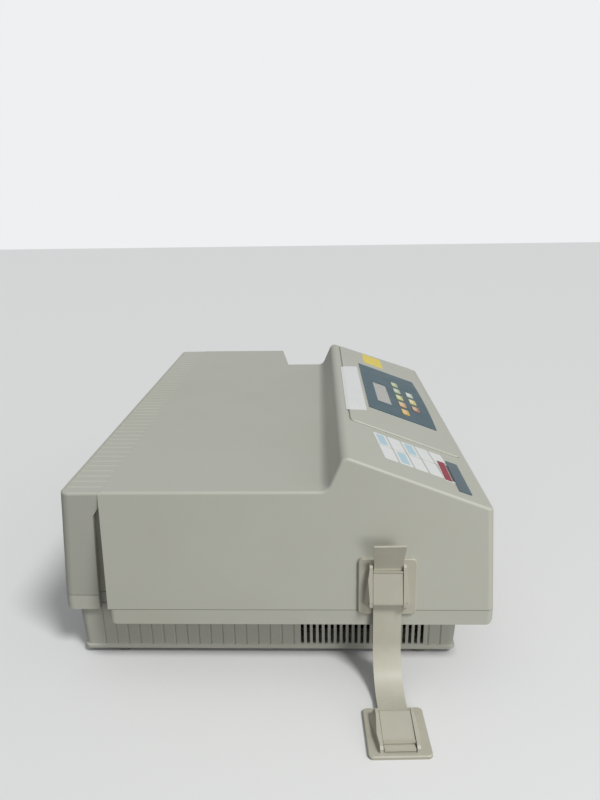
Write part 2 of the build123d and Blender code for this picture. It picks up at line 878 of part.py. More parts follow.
def make_idler_pulley():
    return pulley(idler_x, shaft_radius + bush_clearance)


def make_motor_shaft():
    low = carrier_height - motor_height + 6
    return rod(shaft_radius, (motor_x, pulley_y, low), (motor_x, pulley_y, belt_height + belt_width + 4))


def make_drawer_motor():
    half = motor_size / 2
    body = block(motor_x - half, motor_x + half, pulley_y - half, pulley_y + half,
                 carrier_height - motor_height, carrier_height)
    body = chamfer(body.edges().filter_by(Axis.Z), 4)
    core = rod(half + 4, (motor_x, pulley_y, carrier_height - motor_height + 8),
               (motor_x, pulley_y, carrier_height - 8))
    body = body - (block(motor_x - half - 1, motor_x + half + 1, pulley_y - half - 1, pulley_y + half + 1,
                         carrier_height - motor_height + 8, carrier_height - 8) - core)
    return body - rod(shaft_radius + shaft_clearance,
                      (motor_x, pulley_y, carrier_height - motor_height + 6 - shaft_clearance),
                      (motor_x, pulley_y, carrier_height + 1))


def belt_loop(radius):
    middle = (motor_x + idler_x) / 2
    return Pos(middle, pulley_y) * SlotCenterToCenter(idler_x - motor_x, 2 * radius)


def make_drive_belt():
    inner = pulley_radius + belt_gap
    loop = belt_loop(inner + belt_thickness) - belt_loop(inner)
    return along_z(loop, belt_height, belt_height + belt_width)


def belt_jaw():
    inner = pulley_y - pulley_radius - belt_gap
    outer = inner - belt_thickness
    arm_front = rod_back_y + block_reach
    low, high = belt_height - 3, belt_height + belt_width + 3
    left, right = tail_left - 6, tail_left + 4
    jaw = block(left, right, arm_front - 1, inner + 2.5, low, high)
    slit = block(left - 1, right + 1, outer - face_gap, inner + face_gap, belt_height - face_gap,
                 belt_height + belt_width + face_gap)
    return jaw - slit


# Reading head above the plate and detectors below it
def make_optics_head():
    half_y = channel_count * channel_pitch / 2 + 10
    half_x = head_depth / 2
    head = block(read_x - half_x, read_x + half_x, drawer_middle_y - half_y, drawer_middle_y + half_y,
                 head_height, head_height + head_rise)
    head = chamfer(head.edges().filter_by(Axis.Y).group_by(Axis.Z)[-1], 6)
    head = head - [rod(lens_radius, (read_x, y, head_height - 1),
                       (read_x, y, head_height + head_rise - 8)) for y in channel_rows()]
    base = carrier_height + carrier_thickness
    front_leg = rod_front_y - block_reach - 0.8
    back_leg = pulley_y - 4
    legs = []
    for y0, y1, edge in ((front_leg - 3.6, front_leg, drawer_middle_y - half_y + 1),
                         (back_leg, back_leg + 8, drawer_middle_y + half_y - 1)):
        legs.append(block(read_x - 6, read_x + 6, y0, y1, base, head_height + 8))
        legs.append(block(read_x - 6, read_x + 6, min(y0, edge), max(y1, edge), head_height, head_height + 8))
    return head + legs


def channel_rows():
    return [drawer_middle_y + (step - (channel_count - 1) / 2) * channel_pitch
            for step in range(channel_count)]


def make_lenses():
    return group([rod(lens_radius, (read_x, y, head_height), (read_x, y, head_height + lens_length))
                  for y in channel_rows()])


def make_detector_board():
    half_y = channel_count * channel_pitch / 2 + 10
    base = carrier_height + carrier_thickness
    board = block(read_x - 14, read_x + 14, drawer_middle_y - half_y, drawer_middle_y + half_y,
                  detector_height, detector_height + board_thickness)
    spots = [(read_x + sx * 10, drawer_middle_y + sy * (half_y - 4)) for sx in (-1, 1) for sy in (-1, 1)]
    posts = [rod(2.5, (x, y, base), (x, y, detector_height)) for x, y in spots]
    return board + posts


def make_photodiodes():
    top = detector_height + board_thickness
    return group([rod(3.6, (read_x, y, top), (read_x, y, top + 5)) for y in channel_rows()])


# Monochromator, grating, filter wheel, lamp and light guide
chassis_bottom = foot_height + wall + standoff_height
chassis_top = chassis_bottom + chassis_thickness
wheel_y = (mono_front + mono_back) / 2
wheel_z = (mono_bottom + mono_top) / 2


def make_mono_box():
    box = block(mono_left, mono_right, mono_front, mono_back, mono_bottom, mono_top)
    box = fillet(box.edges().filter_by(Axis.Z), 4)
    box = box - block(mono_left + mono_wall, mono_right - mono_wall, mono_front + mono_wall,
                      mono_back - mono_wall,
                      mono_bottom + mono_wall, mono_top + 1)
    legs = [rod(6, (x, y, chassis_top), (x, y, mono_bottom)) for x in (mono_left + 12, mono_right - 12)
            for y in (mono_front + 12, mono_back - 12)]
    box = box - rod(guide_radius, (mono_right - 10, wheel_y, guide_z()), (mono_right + 1, wheel_y, guide_z()))
    slit = block(grating_x - 1, grating_x + 1, mono_back - 10, mono_back + 1, wheel_z - 8, wheel_z + 8)
    boss = rod(7, (grating_x, grating_y, mono_bottom), (grating_x, grating_y, mono_bottom + mono_wall + 3))
    bore = rod(3 + bush_clearance, (grating_x, grating_y, mono_bottom + 1), (grating_x, grating_y, mono_top))
    post = rod(3, (wheel_x - 14, wheel_y, mono_bottom + mono_wall - 1), (wheel_x - 14, wheel_y, wheel_z - 5))
    bearing = rod(6, (wheel_x - 18, wheel_y, wheel_z), (wheel_x - 6, wheel_y, wheel_z))
    hole = rod(2.5 + bush_clearance, (wheel_x - 19, wheel_y, wheel_z), (wheel_x - 5, wheel_y, wheel_z))
    return box + legs + boss + post + bearing - slit - bore - hole


def guide_z():
    return wheel_z + wheel_radius * 0.66


def make_mono_lid():
    lid = block(mono_left, mono_right, mono_front, mono_back, mono_top, mono_top + lid_thickness)
    return fillet(lid.edges().filter_by(Axis.Z), 4)


def make_grating_mount():
    low = mono_bottom + mono_wall + 3 + face_gap
    table = rod(15, (grating_x, grating_y, low), (grating_x, grating_y, low + 4))
    back = block(grating_x - 16, grating_x + 16, grating_y + 1, grating_y + 5, low + 4, low + 38)
    stub = rod(3, (grating_x, grating_y, mono_bottom + 1.5), (grating_x, grating_y, low))
    return table + (back & rod(15, (grating_x, grating_y, low), (grating_x, grating_y, low + 50))) + stub


def make_grating():
    low = mono_bottom + mono_wall + 3 + face_gap + 4
    return block(grating_x - 12, grating_x + 12, grating_y - 5, grating_y + 1, low + 3, low + 31)


def make_filter_wheel():
    wheel = rod(wheel_radius, (wheel_x, wheel_y, wheel_z), (wheel_x + 3, wheel_y, wheel_z))
    for step in range(wheel_holes):
        turn = math.radians(90 + step * 360 / wheel_holes)
        y = wheel_y + wheel_radius * 0.66 * math.cos(turn)
        z = wheel_z + wheel_radius * 0.66 * math.sin(turn)
        wheel = wheel - rod(5, (wheel_x - 1, y, z), (wheel_x + 4, y, z))
    return wheel + rod(2.5, (wheel_x - 16, wheel_y, wheel_z), (wheel_x, wheel_y, wheel_z))


def make_lamp_housing():
    low, high = wheel_z - 24, wheel_z + 24
    left, right = grating_x - 24, grating_x + 24
    back = mono_back + lamp_depth
    house = block(left, right, mono_back, back, low, high)
    fins = [block(left - 1, right + 1, mono_back + 8 + step * 6, mono_back + 11 + step * 6, high - 8,
                  high + 1) for step in range(6)]
    house = house - block(left + 3, right - 3, mono_back + 3, back - 3, low + 3, high - 9) - fins
    house = house - block(grating_x - 1, grating_x + 1, mono_back - 1, mono_back + 4, wheel_z - 8,
                          wheel_z + 8)
    middle = mono_back + lamp_depth / 2
    return house + [rod(5, (x, middle, chassis_top), (x, middle, low)) for x in (left + 8, right - 8)]


def make_flash_lamp():
    low = wheel_z - 21
    y = mono_back + lamp_depth / 2
    bulb = rod(9, (grating_x, y, low + 8), (grating_x, y, low + 30))
    bulb = chamfer(bulb.faces().sort_by(Axis.Z)[-1].edges(), 5)
    return bulb + rod(12, (grating_x, y, low), (grating_x, y, low + 8))


def guide_route():
    head_top = head_height + head_rise
    start = (mono_right, wheel_y, guide_z())
    return [start, (mono_right + 45, wheel_y, guide_z()), (read_x, wheel_y - 40, head_top + 14),
            (read_x, drawer_middle_y, head_top + 14),
            (read_x, drawer_middle_y, head_top)]


def make_light_guide():
    points = guide_route()
    path = FilletPolyline(*points, radius=12)
    return sweep(Plane(origin=points[0], z_dir=(1, 0, 0)) * Circle(guide_radius), path=path)


# Chassis, electronics, fan and rear panel
def make_chassis():
    plate = block(-chassis_half_width, chassis_half_width, chassis_front, chassis_rear, chassis_bottom,
                  chassis_top)
    plate = fillet(plate.edges().filter_by(Axis.Z), 8)
    return plate - [rod(1.5, (x, y, chassis_bottom - 1), (x, y, chassis_top + 1))
                    for x, y in standoff_spots()]


panel_face = chassis_rear


def make_rear_panel():
    back, front = panel_face, panel_face - panel_sheet
    sheet = block(connector_left - 6, connector_right + 6, front, back, chassis_top, connector_top + 6)
    foot = block(connector_left - 6, connector_right + 6, front - 12, front, chassis_top,
                 chassis_top + panel_sheet)
    holes = [block(inlet_x - 14, inlet_x + 14, front - 1, back + 1, inlet_z - 21, inlet_z + 13),
             block(rocker_x - 10, rocker_x + 10, front - 1, back + 1, inlet_z - 14, inlet_z + 14),
             block(serial_x - 9, serial_x + 9, front - 1, back + 1, port_z - 5.5, port_z + 5.5),
             block(printer_x - 20, printer_x + 20, front - 1, back + 1, port_z - 5.5, port_z + 5.5)]
    return sheet + foot - holes


def make_power_inlet():
    face = panel_face
    flange = block(inlet_x - 17, inlet_x + 17, face, face + 2, inlet_z - 24, inlet_z + 16)
    body = block(inlet_x - 13.5, inlet_x + 13.5, face - 20, face, inlet_z - 20.5, inlet_z + 12.5)
    shape = outline([(inlet_x - 12, inlet_z - 8), (inlet_x + 12, inlet_z - 8), (inlet_x + 12, inlet_z + 3),
                     (inlet_x + 7, inlet_z + 8), (inlet_x - 7, inlet_z + 8), (inlet_x - 12, inlet_z + 3)])
    socket = along_y(shape, face - 16, face + 3)
    drawer_space = block(inlet_x - 12, inlet_x + 12, face - 14, face + 3, inlet_z - 19, inlet_z - 11)
    pins = [block(inlet_x + dx - 1, inlet_x + dx + 1, face - 16, face - 2, inlet_z + dz - 2, inlet_z + dz + 2)
            for dx, dz in ((-7, -2), (7, -2), (0, 2))]
    return flange + body - socket - drawer_space + pins


def make_fuse_drawer():
    face = panel_face
    front = block(inlet_x - 11.8, inlet_x + 11.8, face - 13.8, face + 2.8, inlet_z - 18.8, inlet_z - 11.2)
    return front - block(inlet_x - 4, inlet_x + 4, face + 1.6, face + 4, inlet_z - 12.6, inlet_z - 11)


def make_switch_frame():
    face = panel_face
    frame = block(rocker_x - 11.5, rocker_x + 11.5, face, face + 2, inlet_z - 16, inlet_z + 16)
    body = block(rocker_x - 9.8, rocker_x + 9.8, face - 18, face, inlet_z - 13.8, inlet_z + 13.8)
    frame = frame + body - block(rocker_x - 7.5, rocker_x + 7.5, face - 14, face + 3, inlet_z - 12.2,
                                 inlet_z + 12.2)
    return frame - rod(1.58, (rocker_x - 9, inlet_pivot()[0], inlet_z),
                       (rocker_x + 9, inlet_pivot()[0], inlet_z))


def inlet_pivot():
    return panel_face - 4, inlet_z


def make_power_rocker():
    pivot_y, pivot_z = inlet_pivot()
    half, lift = 11.0, rocker_swing / 2
    bend = math.tan(math.radians(lift))
    pts = [(pivot_y - 4, pivot_z - 4), (pivot_y - 4, pivot_z + 4),
           (pivot_y + 3.5 + half * bend, pivot_z + half),
           (pivot_y + 7.0 + half * bend, pivot_z + half), (pivot_y + 5.4,
                                                           pivot_z), (pivot_y + 7.0 + half * bend,
                                                                      pivot_z - half),
           (pivot_y + 3.5 + half * bend, pivot_z - half)]
    body = along_x(Polygon(*pts, align=None), rocker_x - 7, rocker_x + 7)
    body = body + rod(1.5, (rocker_x - 8.6, pivot_y, pivot_z), (rocker_x + 8.6, pivot_y, pivot_z))
    return Pos(0, pivot_y, pivot_z) * Rot(lift, 0, 0) * Pos(0, -pivot_y, -pivot_z) * body


def port(x, spacing, half):
    face = panel_face
    flange = block(x - spacing / 2 - 4, x + spacing / 2 + 4, face, face + 1, port_z - 6, port_z + 6)
    shell = outline([(x - half, port_z + 4.2), (x + half, port_z + 4.2), (x + half - 1.6, port_z - 4.2),
                     (x - half + 1.6, port_z - 4.2)])
    shell = fillet(shell.vertices(), 1.6)
    body = along_y(shell, face - 8, face + 6)
    jacks = []
    for side in (-1, 1):
        post = Pos(x + side * spacing / 2, 0) * Pos(0, port_z) * RegularPolygon(jack_radius, 6)
        post = along_y(post, face + 1, face + 1 + jack_length)
        spot = (x + side * spacing / 2, face + 1, port_z)
        jacks.append(post - rod(jack_hole_radius, spot, (spot[0], face + 2 + jack_length, port_z)))
    return flange + body, shell, jacks


def make_serial_port():
    base, shell, jacks = port(serial_x, jack_spacing_serial, 8.6)
    hollow = along_y(offset(shell, -0.6), panel_face + 1.5, panel_face + 7)
    pins = []
    for count, dz in ((5, 1.42), (4, -1.42)):
        for step in range(count):
            x = serial_x + (step - (count - 1) / 2) * 2.77
            pins.append(rod(0.5, (x, panel_face + 1, port_z + dz), (x, panel_face + 5.4, port_z + dz)))
    return base + jacks - hollow + pins


def make_printer_port():
    base, shell, jacks = port(printer_x, jack_spacing_printer, 19.6)
    holes = []
    for count, dz in ((13, 1.42), (12, -1.42)):
        for step in range(count):
            x = printer_x + (step - (count - 1) / 2) * 2.77
            holes.append(block(x - 0.5, x + 0.5, panel_face + 3, panel_face + 7, port_z + dz - 0.5,
                               port_z + dz + 0.5))
    return base + jacks - holes


def make_power_supply():
    case = block(supply_left, supply_right, supply_front, supply_back, chassis_top, supply_top)
    case = case - block(supply_left + 2, supply_right - 2, supply_front + 2, supply_back - 2,
                        chassis_top + 2, supply_top - 2)
    count = int((supply_right - supply_left - 20) / 9)
    slots = [block(supply_left + 12 + step * 9, supply_left + 16 + step * 9, supply_front + 12,
                   supply_back - 12,
                   supply_top - 3, supply_top + 1) for step in range(count)]
    return case - slots


def make_main_board():
    left, right = supply_left - 24, supply_right + 10
    front, back = supply_front - 14, supply_back + 22
    board = block(left, right, front, back, board_height, board_height + board_thickness)
    posts = [rod(3, (x, y, chassis_top), (x, y, board_height)) for x in (left + 5, right - 5)
             for y in (front + 5, back - 5)]
    chips = []
    for col in range(5):
        for row in range(3):
            x, y = left + 24 + col * 34, front + 22 + row * 40
            chips.append(block(x, x + 20 - 4 * (row % 2), y, y + 12, board_height + board_thickness,
                               board_height + board_thickness + 3.5))
    return board + posts + chips


def fan_back():
    return panel_face + 1.0


def make_fan_frame():
    half = fan_size / 2
    back, front = fan_back(), fan_back() - fan_depth
    frame = block(fan_x - half, fan_x + half, front, back, fan_height - half, fan_height + half)
    frame = fillet(frame.edges().filter_by(Axis.Y), 4)
    frame = frame - rod(half - 2, (fan_x, front - 1, fan_height), (fan_x, back + 1, fan_height))
    hub = rod(10, (fan_x, back - 3, fan_height), (fan_x, back, fan_height))
    arms = [rod(half, (fan_x, back - 3, fan_height), (fan_x, back, fan_height)) &
            (Pos(fan_x, 0, fan_height) * Rot(0, turn, 0) * block(-half, half, back - 3, back, -1.5,
                                                                 1.5)) for turn in (45, 135)]
    pin = rod(1.5, (fan_x, front + 2, fan_height), (fan_x, back, fan_height))
    legs = [block(x - 4, x + 4, front + 1, back - 1, chassis_top, fan_height - half)
            for x in (fan_x - half + 8, fan_x + half - 8)]
    return frame + hub + arms + pin + legs


def make_fan_rotor():
    back, front = fan_back() - 3 - fan_gap, fan_back() - fan_depth + 1
    hub = rod(11, (fan_x, front, fan_height), (fan_x, back, fan_height))
    tip = fan_size / 2 - 2 - fan_gap
    ring = rod(tip, (fan_x, front, fan_height), (fan_x, back, fan_height))
    blades = []
    for step in range(fan_blades):
        slab = Pos(tip / 2 + 3, 0, 0) * Rot(35, 0, 0) * Box(tip, 1.2, 20)
        slab = Pos(fan_x, (front + back) / 2, fan_height) * Rot(0, step * 360 / fan_blades, 0) * slab
        blades.append(slab & ring)
    return hub + blades - rod(1.5 + bush_clearance, (fan_x, front - 1, fan_height),
                              (fan_x, back + 1, fan_height))


# Bench strap: two buckles of one shape, one on the case side and one on the bench.
# The strap leaves the case side a little turned, and the bench pad lies along it.
strap_turn_way = Pos(-case_half_width, strap_y) * Rot(0, 0, strap_turn) * Pos(case_half_width, -strap_y)


def upper_strap_frame():
    lean = math.atan(side_slope)
    spot = (-side_half_width(strap_upper_z), strap_y, strap_upper_z)
    return Plane(origin=spot, x_dir=(0, -1, 0), z_dir=(-math.cos(lean), 0, math.sin(lean)))


def lower_strap_frame():
    return Plane(origin=(strap_lower_x, strap_y, 0), x_dir=(0, 1, 0), z_dir=(0, 0, 1))


# In a buckle's own frame y runs from the strap's way in to its far end, z away from the face
strap_top = strap_plate_thickness + strap_lift + strap_thickness
lever_low = strap_top + lever_clearance
pin_y = rail_start + 1.4 + lever_barrel
pin_z = lever_low + lever_barrel
lever_end = pin_y - lever_barrel + lever_length
lever_end_top = lever_low + lever_end_thickness
rail_top = pin_z + lever_barrel + rail_overhang


def rail_side():
    return outline([(rail_start, strap_plate_thickness - 1), (rail_end, strap_plate_thickness - 1),
                    (rail_end, lever_end_top - 1.5), (rail_end - 2, lever_end_top + rail_overhang),
                    (pin_y + 2, rail_top), (rail_start + 1.5, rail_top), (rail_start, rail_top - 1.5)])


def gusset(side):
    foot = rail_inner + rail_width
    edge = foot + gusset_width
    plan = Polygon((side * rail_inner, rail_start), (side * edge, rail_start), (side * foot, rail_end - 4),
                   (side * rail_inner, rail_end - 4), align=None)
    slant = Polygon((side * rail_inner, 1), (side * edge, 1), (side * edge, strap_plate_thickness),
                    (side * foot, rail_top - 0.5), (side * rail_inner, rail_top - 0.5), align=None)
    solid = along_z(plan, strap_plate_thickness - 1, rail_top) & along_y(slant, rail_start, rail_end)
    return solid & extrude(Plane.YZ.offset(side * rail_inner) * rail_side(), side * 2 * edge)


def buckle_base():
    plate = RectangleRounded(strap_plate_width, strap_plate_length, strap_plate_corner)
    plate = along_z(plate, 0, strap_plate_thickness)
    base = chamfer(plate.faces().sort_by(Axis.Z)[-1].edges(), 0.8)
    for side in (-1, 1):
        base = base + extrude(Plane.YZ.offset(side * rail_inner) * rail_side(), side * rail_width)
        base = base + gusset(side)
    far = rail_inner + rail_width + 1
    return base - rod(lever_pin_radius + lever_pin_clearance, (-far, pin_y, pin_z), (far, pin_y, pin_z))


def buckle_lever():
    half = rail_inner - lever_side_gap
    barrel = rod(lever_barrel, (-half, pin_y, pin_z), (half, pin_y, pin_z))
    side = outline([(pin_y, lever_low), (lever_end, lever_low), (lever_end, lever_end_top + lever_lip),
                    (lever_end - 1, lever_end_top + lever_lip), (lever_end - 1.6, lever_end_top),
                    (pin_y + 1, pin_z + lever_barrel - 0.1), (pin_y, pin_z + lever_barrel - 0.1)])
    body = extrude(Plane.YZ.offset(-half) * side, 2 * half)
    far = rail_inner + rail_width
    return body + barrel + rod(lever_pin_radius, (-far, pin_y, pin_z), (far, pin_y, pin_z))


def placed(frame, solid):
    return frame.location * solid


def strap_path():
    upper, lower = upper_strap_frame(), lower_strap_frame()
    lift = strap_plate_thickness + strap_lift + strap_thickness / 2
    half = strap_plate_length / 2
    end = upper.from_local_coords((0, lever_end + 2, lift))
    tip = upper.from_local_coords((0, lever_end + strap_tail, lift + strap_tail * strap_tail_lean))
    start = upper.from_local_coords((0, -half, lift))
    tail = lower.from_local_coords((0, rail_end - 0.5, lift))
    corner = (start.X - 0.035 * (start.Z - lift), tail.Z)
    return [(tip.X, tip.Z), (end.X, end.Z), (start.X, start.Z), corner, (tail.X, tail.Z)]


def strap_widths():
    half = strap_width / 2
    flare = half + strap_tail_flare
    far = lever_end + strap_tail + 10
    face = Polygon((-half, -200), (half, -200), (half, lever_end + 3), (flare, far), (-flare, far),
                   (-half, lever_end + 3), align=None)
    return placed(upper_strap_frame(), along_z(face, -20, 140))


def make_strap():
    path = FilletPolyline(*strap_path(), radius=[4.0, 30.0, strap_bend])
    ribbon = trace(path, line_width=strap_thickness)
    half = strap_width / 2 + strap_tail_flare
    strap = along_y(ribbon, strap_y - half, strap_y + half) & strap_widths()
    return strap_turn_way * strap


# Everything by name
def make_parts():
    parts = {
        "top_cover": make_top_cover(), "base_tray": make_base_tray(), "feet": make_feet(),
        "case_screws": make_case_screws(), "console_panel": make_console_panel(),
        "keypad_overlay": make_keypad_overlay(), "lcd_window": make_lcd_window(),
        "lcd_module": make_lcd_module(), "key_board": make_key_board(), "nameplate": make_nameplate(),
        "drawer_tray": make_drawer_tray(), "drawer_front": make_drawer_front(),
        "plate_pusher": make_plate_pusher(), "slide_block": make_slide_block(),
        "slide_bushes": make_slide_bushes(), "guide_rods": make_guide_rods(),
        "drawer_carrier": make_drawer_carrier(), "drawer_motor": make_drawer_motor(),
        "motor_shaft": make_motor_shaft(), "drive_pulley": make_drive_pulley(),
        "idler_pulley": make_idler_pulley(), "drive_belt": make_drive_belt(),
        "optics_head": make_optics_head(), "lenses": make_lenses(),
        "detector_board": make_detector_board(), "photodiodes": make_photodiodes(),
        "mono_box": make_mono_box(), "mono_lid": make_mono_lid(), "grating_mount": make_grating_mount(),
        "grating": make_grating(), "filter_wheel": make_filter_wheel(), "lamp_housing": make_lamp_housing(),
        "flash_lamp": make_flash_lamp(), "light_guide": make_light_guide(), "chassis": make_chassis(),
        "rear_panel": make_rear_panel(), "power_inlet": make_power_inlet(), "fuse_drawer": make_fuse_drawer(),
        "switch_frame": make_switch_frame(), "power_rocker": make_power_rocker(),
        "serial_port": make_serial_port(), "printer_port": make_printer_port(),
        "power_supply": make_power_supply(), "main_board": make_main_board(),
        "fan_frame": make_fan_frame(), "fan_rotor": make_fan_rotor(), "strap": make_strap(),
    }
    for number in range(len(key_spots())):
        parts["key_" + str(number + 1)] = make_key(number)
    for name, frame, turn in (("upper", upper_strap_frame(), Pos()),
                              ("lower", lower_strap_frame(), strap_turn_way)):
        parts[name + "_buckle"] = turn * placed(frame, buckle_base())
        parts[name + "_lever"] = turn * placed(frame, buckle_lever())
    return parts


# The origin lies under the middle of the whole object, bench strap included
turn_angle = math.radians(strap_turn)
pad_middle = -case_half_width - strap_reach * math.cos(turn_angle)
pad_reach = strap_plate_corner + (strap_plate_length / 2 - strap_plate_corner) * math.cos(turn_angle)
pad_reach += (strap_plate_width / 2 - strap_plate_corner) * math.sin(turn_angle)
object_left = pad_middle - pad_reach
origin_x = (object_left + case_half_width) / 2
origin_y = (case_front + case_rear) / 2

os.makedirs("parts", exist_ok=True)
for name, solid in make_parts().items():
    export_step(Pos(-origin_x, -origin_y, 0) * solid, "parts/" + name + ".step")
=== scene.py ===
import bpy
import bmesh
import math
from mathutils import Matrix, Vector


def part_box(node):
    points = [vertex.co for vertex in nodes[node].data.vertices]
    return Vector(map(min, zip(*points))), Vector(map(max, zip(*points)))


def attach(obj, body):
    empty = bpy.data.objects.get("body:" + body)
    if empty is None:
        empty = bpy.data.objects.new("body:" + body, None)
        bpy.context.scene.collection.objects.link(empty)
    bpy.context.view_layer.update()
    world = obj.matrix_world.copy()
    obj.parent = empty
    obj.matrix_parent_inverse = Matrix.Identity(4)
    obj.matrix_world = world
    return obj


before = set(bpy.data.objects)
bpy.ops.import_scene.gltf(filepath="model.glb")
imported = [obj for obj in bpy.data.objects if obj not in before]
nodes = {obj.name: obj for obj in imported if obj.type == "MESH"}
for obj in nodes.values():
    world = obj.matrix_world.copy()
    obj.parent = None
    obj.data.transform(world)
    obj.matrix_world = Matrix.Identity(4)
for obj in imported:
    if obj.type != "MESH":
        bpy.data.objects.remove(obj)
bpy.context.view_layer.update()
print("stage: frame loaded,", len(nodes), "nodes")

# where the case's middle lies in the row's frame, in metres; places below in millimetres start from it
caseMiddle = Vector((0.0495, -0.007, 0.0))
millimetres = 1000


def addObject(name, data):
    thing = bpy.data.objects.new(name, data)
    bpy.context.scene.collection.objects.link(thing)
    return thing


# camera, fitted to the photograph: angles in degrees, spot in metres from the case's middle
view = {"lens": 30.47, "pitch": 16.37, "yaw": -1.67, "roll": 0.83, "spot": (-0.818, -0.0355, 0.4197),
        "sensor": 36.0, "nearest": 0.01}


# two square directions, turned together in the plane they share
def turned(first, second, angle):
    cos, sin = math.cos(angle), math.sin(angle)
    return first * cos + second * sin, second * cos - first * sin


def makeCamera():
    yaw, pitch, roll = (math.radians(view[angle]) for angle in ("yaw", "pitch", "roll"))
    ahead, right, up = Vector((1, 0, 0)), Vector((0, -1, 0)), Vector((0, 0, 1))
    ahead, right = turned(ahead, right, yaw)
    up, ahead = turned(up, ahead, pitch)
    up, right = turned(up, right, roll)
    data = bpy.data.cameras.new("viewCamera")
    data.sensor_width = view["sensor"]
    data.sensor_fit = "AUTO"
    data.lens = view["lens"]
    data.clip_start = view["nearest"]
    camera = addObject("viewCamera", data)
    facing = Matrix((right, up, -ahead)).transposed().to_4x4()
    camera.matrix_world = Matrix.Translation(Vector(view["spot"]) + caseMiddle) @ facing
    bpy.context.scene.camera = camera


makeCamera()
print("stage: camera set")


# colours are given as they look on screen, 0 to 255
def tone(r, g, b):
    def linear(level):
        level = level / 255
        return level / 12.92 if level <= 0.04045 else ((level + 0.055) / 1.055) ** 2.4
    return (linear(r), linear(g), linear(b), 1.0)


# the same colour, darker or paler
def shade(color, share):
    return tuple(min(1, channel * share) for channel in color[:3]) + (1,)


# the sockets of a Mix node that mixes colours have numbers, not names of their own
mixSocket = {"first": 6, "second": 7, "result": 2}


def colourMix(add):
    mix = add("ShaderNodeMix")
    mix.data_type = "RGBA"
    return mix


def mathNode(add, operation, kind="ShaderNodeMath"):
    node = add(kind)
    node.operation = operation
    return node


def newGroup(name, inputs, outputs):
    group = bpy.data.node_groups.new(name, "ShaderNodeTree")
    for label, kind, value in inputs:
        socket = group.interface.new_socket(label, in_out="INPUT", socket_type=kind)
        socket.default_value = value
    for label, kind in outputs:
        group.interface.new_socket(label, in_out="OUTPUT", socket_type=kind)
    return group, group.nodes.new("NodeGroupInput"), group.nodes.new("NodeGroupOutput")


# how fine the noise in each group is, and which part of it shows as patches
fineness = {"wave": 2.0, "patch": 5.0, "patchRoughness": 0.62, "patchLow": 0.35, "patchHigh": 0.75,
            "scuff": 1.0, "brushed": 3.0}


# fine moulded texture with a broad unevenness
def makeMouldedSkin():
    group, src, dst = newGroup("mouldedSkin", [
        ("Grain Scale", "NodeSocketFloat", 900.0), ("Grain Height", "NodeSocketFloat", 0.3),
        ("Wave Scale", "NodeSocketFloat", 9.0), ("Wave Height", "NodeSocketFloat", 0.15)],
        [("Height", "NodeSocketFloat")])
    add, link = group.nodes.new, group.links.new
    place, grain, wave = add("ShaderNodeTexCoord"), add("ShaderNodeTexVoronoi"), add("ShaderNodeTexNoise")
    grain.feature = "SMOOTH_F1"
    wave.inputs["Detail"].default_value = fineness["wave"]
    total = mathNode(add, "ADD")
    for order, (texture, output, label) in enumerate(((grain, "Distance", "Grain"), (wave, "Fac", "Wave"))):
        height = mathNode(add, "MULTIPLY")
        link(place.outputs["Object"], texture.inputs["Vector"])
        link(src.outputs[label + " Scale"], texture.inputs["Scale"])
        link(texture.outputs[output], height.inputs[0])
        link(src.outputs[label + " Height"], height.inputs[1])
        link(height.outputs[0], total.inputs[order])
    link(total.outputs[0], dst.inputs["Height"])
    return group


# yellowing and handling marks in soft patches, with dust lying on what faces up
def makeAgedTone():
    group, src, dst = newGroup("agedTone", [
        ("Color", "NodeSocketColor", (0.5, 0.5, 0.5, 1)),
        ("Aged Color", "NodeSocketColor", (0.4, 0.4, 0.35, 1)),
        ("Amount", "NodeSocketFloat", 0.4), ("Patch Scale", "NodeSocketFloat", 7.0),
        ("Dust Color", "NodeSocketColor", (0.6, 0.6, 0.56, 1)), ("Dust", "NodeSocketFloat", 0.1)],
        [("Color", "NodeSocketColor"), ("Patches", "NodeSocketFloat")])
    add, link = group.nodes.new, group.links.new
    place, shape, patch = add("ShaderNodeTexCoord"), add("ShaderNodeNewGeometry"), add("ShaderNodeTexNoise")
    patch.inputs["Detail"].default_value = fineness["patch"]
    patch.inputs["Roughness"].default_value = fineness["patchRoughness"]
    ramp, split = add("ShaderNodeMapRange"), add("ShaderNodeSeparateXYZ")
    ramp.inputs["From Min"].default_value = fineness["patchLow"]
    ramp.inputs["From Max"].default_value = fineness["patchHigh"]
    amount, dust, facing = mathNode(add, "MULTIPLY"), mathNode(add, "MULTIPLY"), mathNode(add, "MAXIMUM")
    facing.inputs[1].default_value = 0.0  # what faces down holds no dust
    age, lay = colourMix(add), colourMix(add)
    link(place.outputs["Object"], patch.inputs["Vector"])
    link(src.outputs["Patch Scale"], patch.inputs["Scale"])
    link(patch.outputs["Fac"], ramp.inputs["Value"])
    link(ramp.outputs["Result"], amount.inputs[0])
    link(src.outputs["Amount"], amount.inputs[1])
    link(amount.outputs[0], age.inputs["Factor"])
    link(src.outputs["Color"], age.inputs[mixSocket["first"]])
    link(src.outputs["Aged Color"], age.inputs[mixSocket["second"]])
    link(shape.outputs["Normal"], split.inputs[0])
    link(split.outputs["Z"], facing.inputs[0])
    link(facing.outputs[0], dust.inputs[0])
    link(src.outputs["Dust"], dust.inputs[1])
    link(dust.outputs[0], lay.inputs["Factor"])
    link(age.outputs[mixSocket["result"]], lay.inputs[mixSocket["first"]])
    link(src.outputs["Dust Color"], lay.inputs[mixSocket["second"]])
    link(lay.outputs[mixSocket["result"]], dst.inputs["Color"])
    link(ramp.outputs["Result"], dst.inputs["Patches"])
    return group


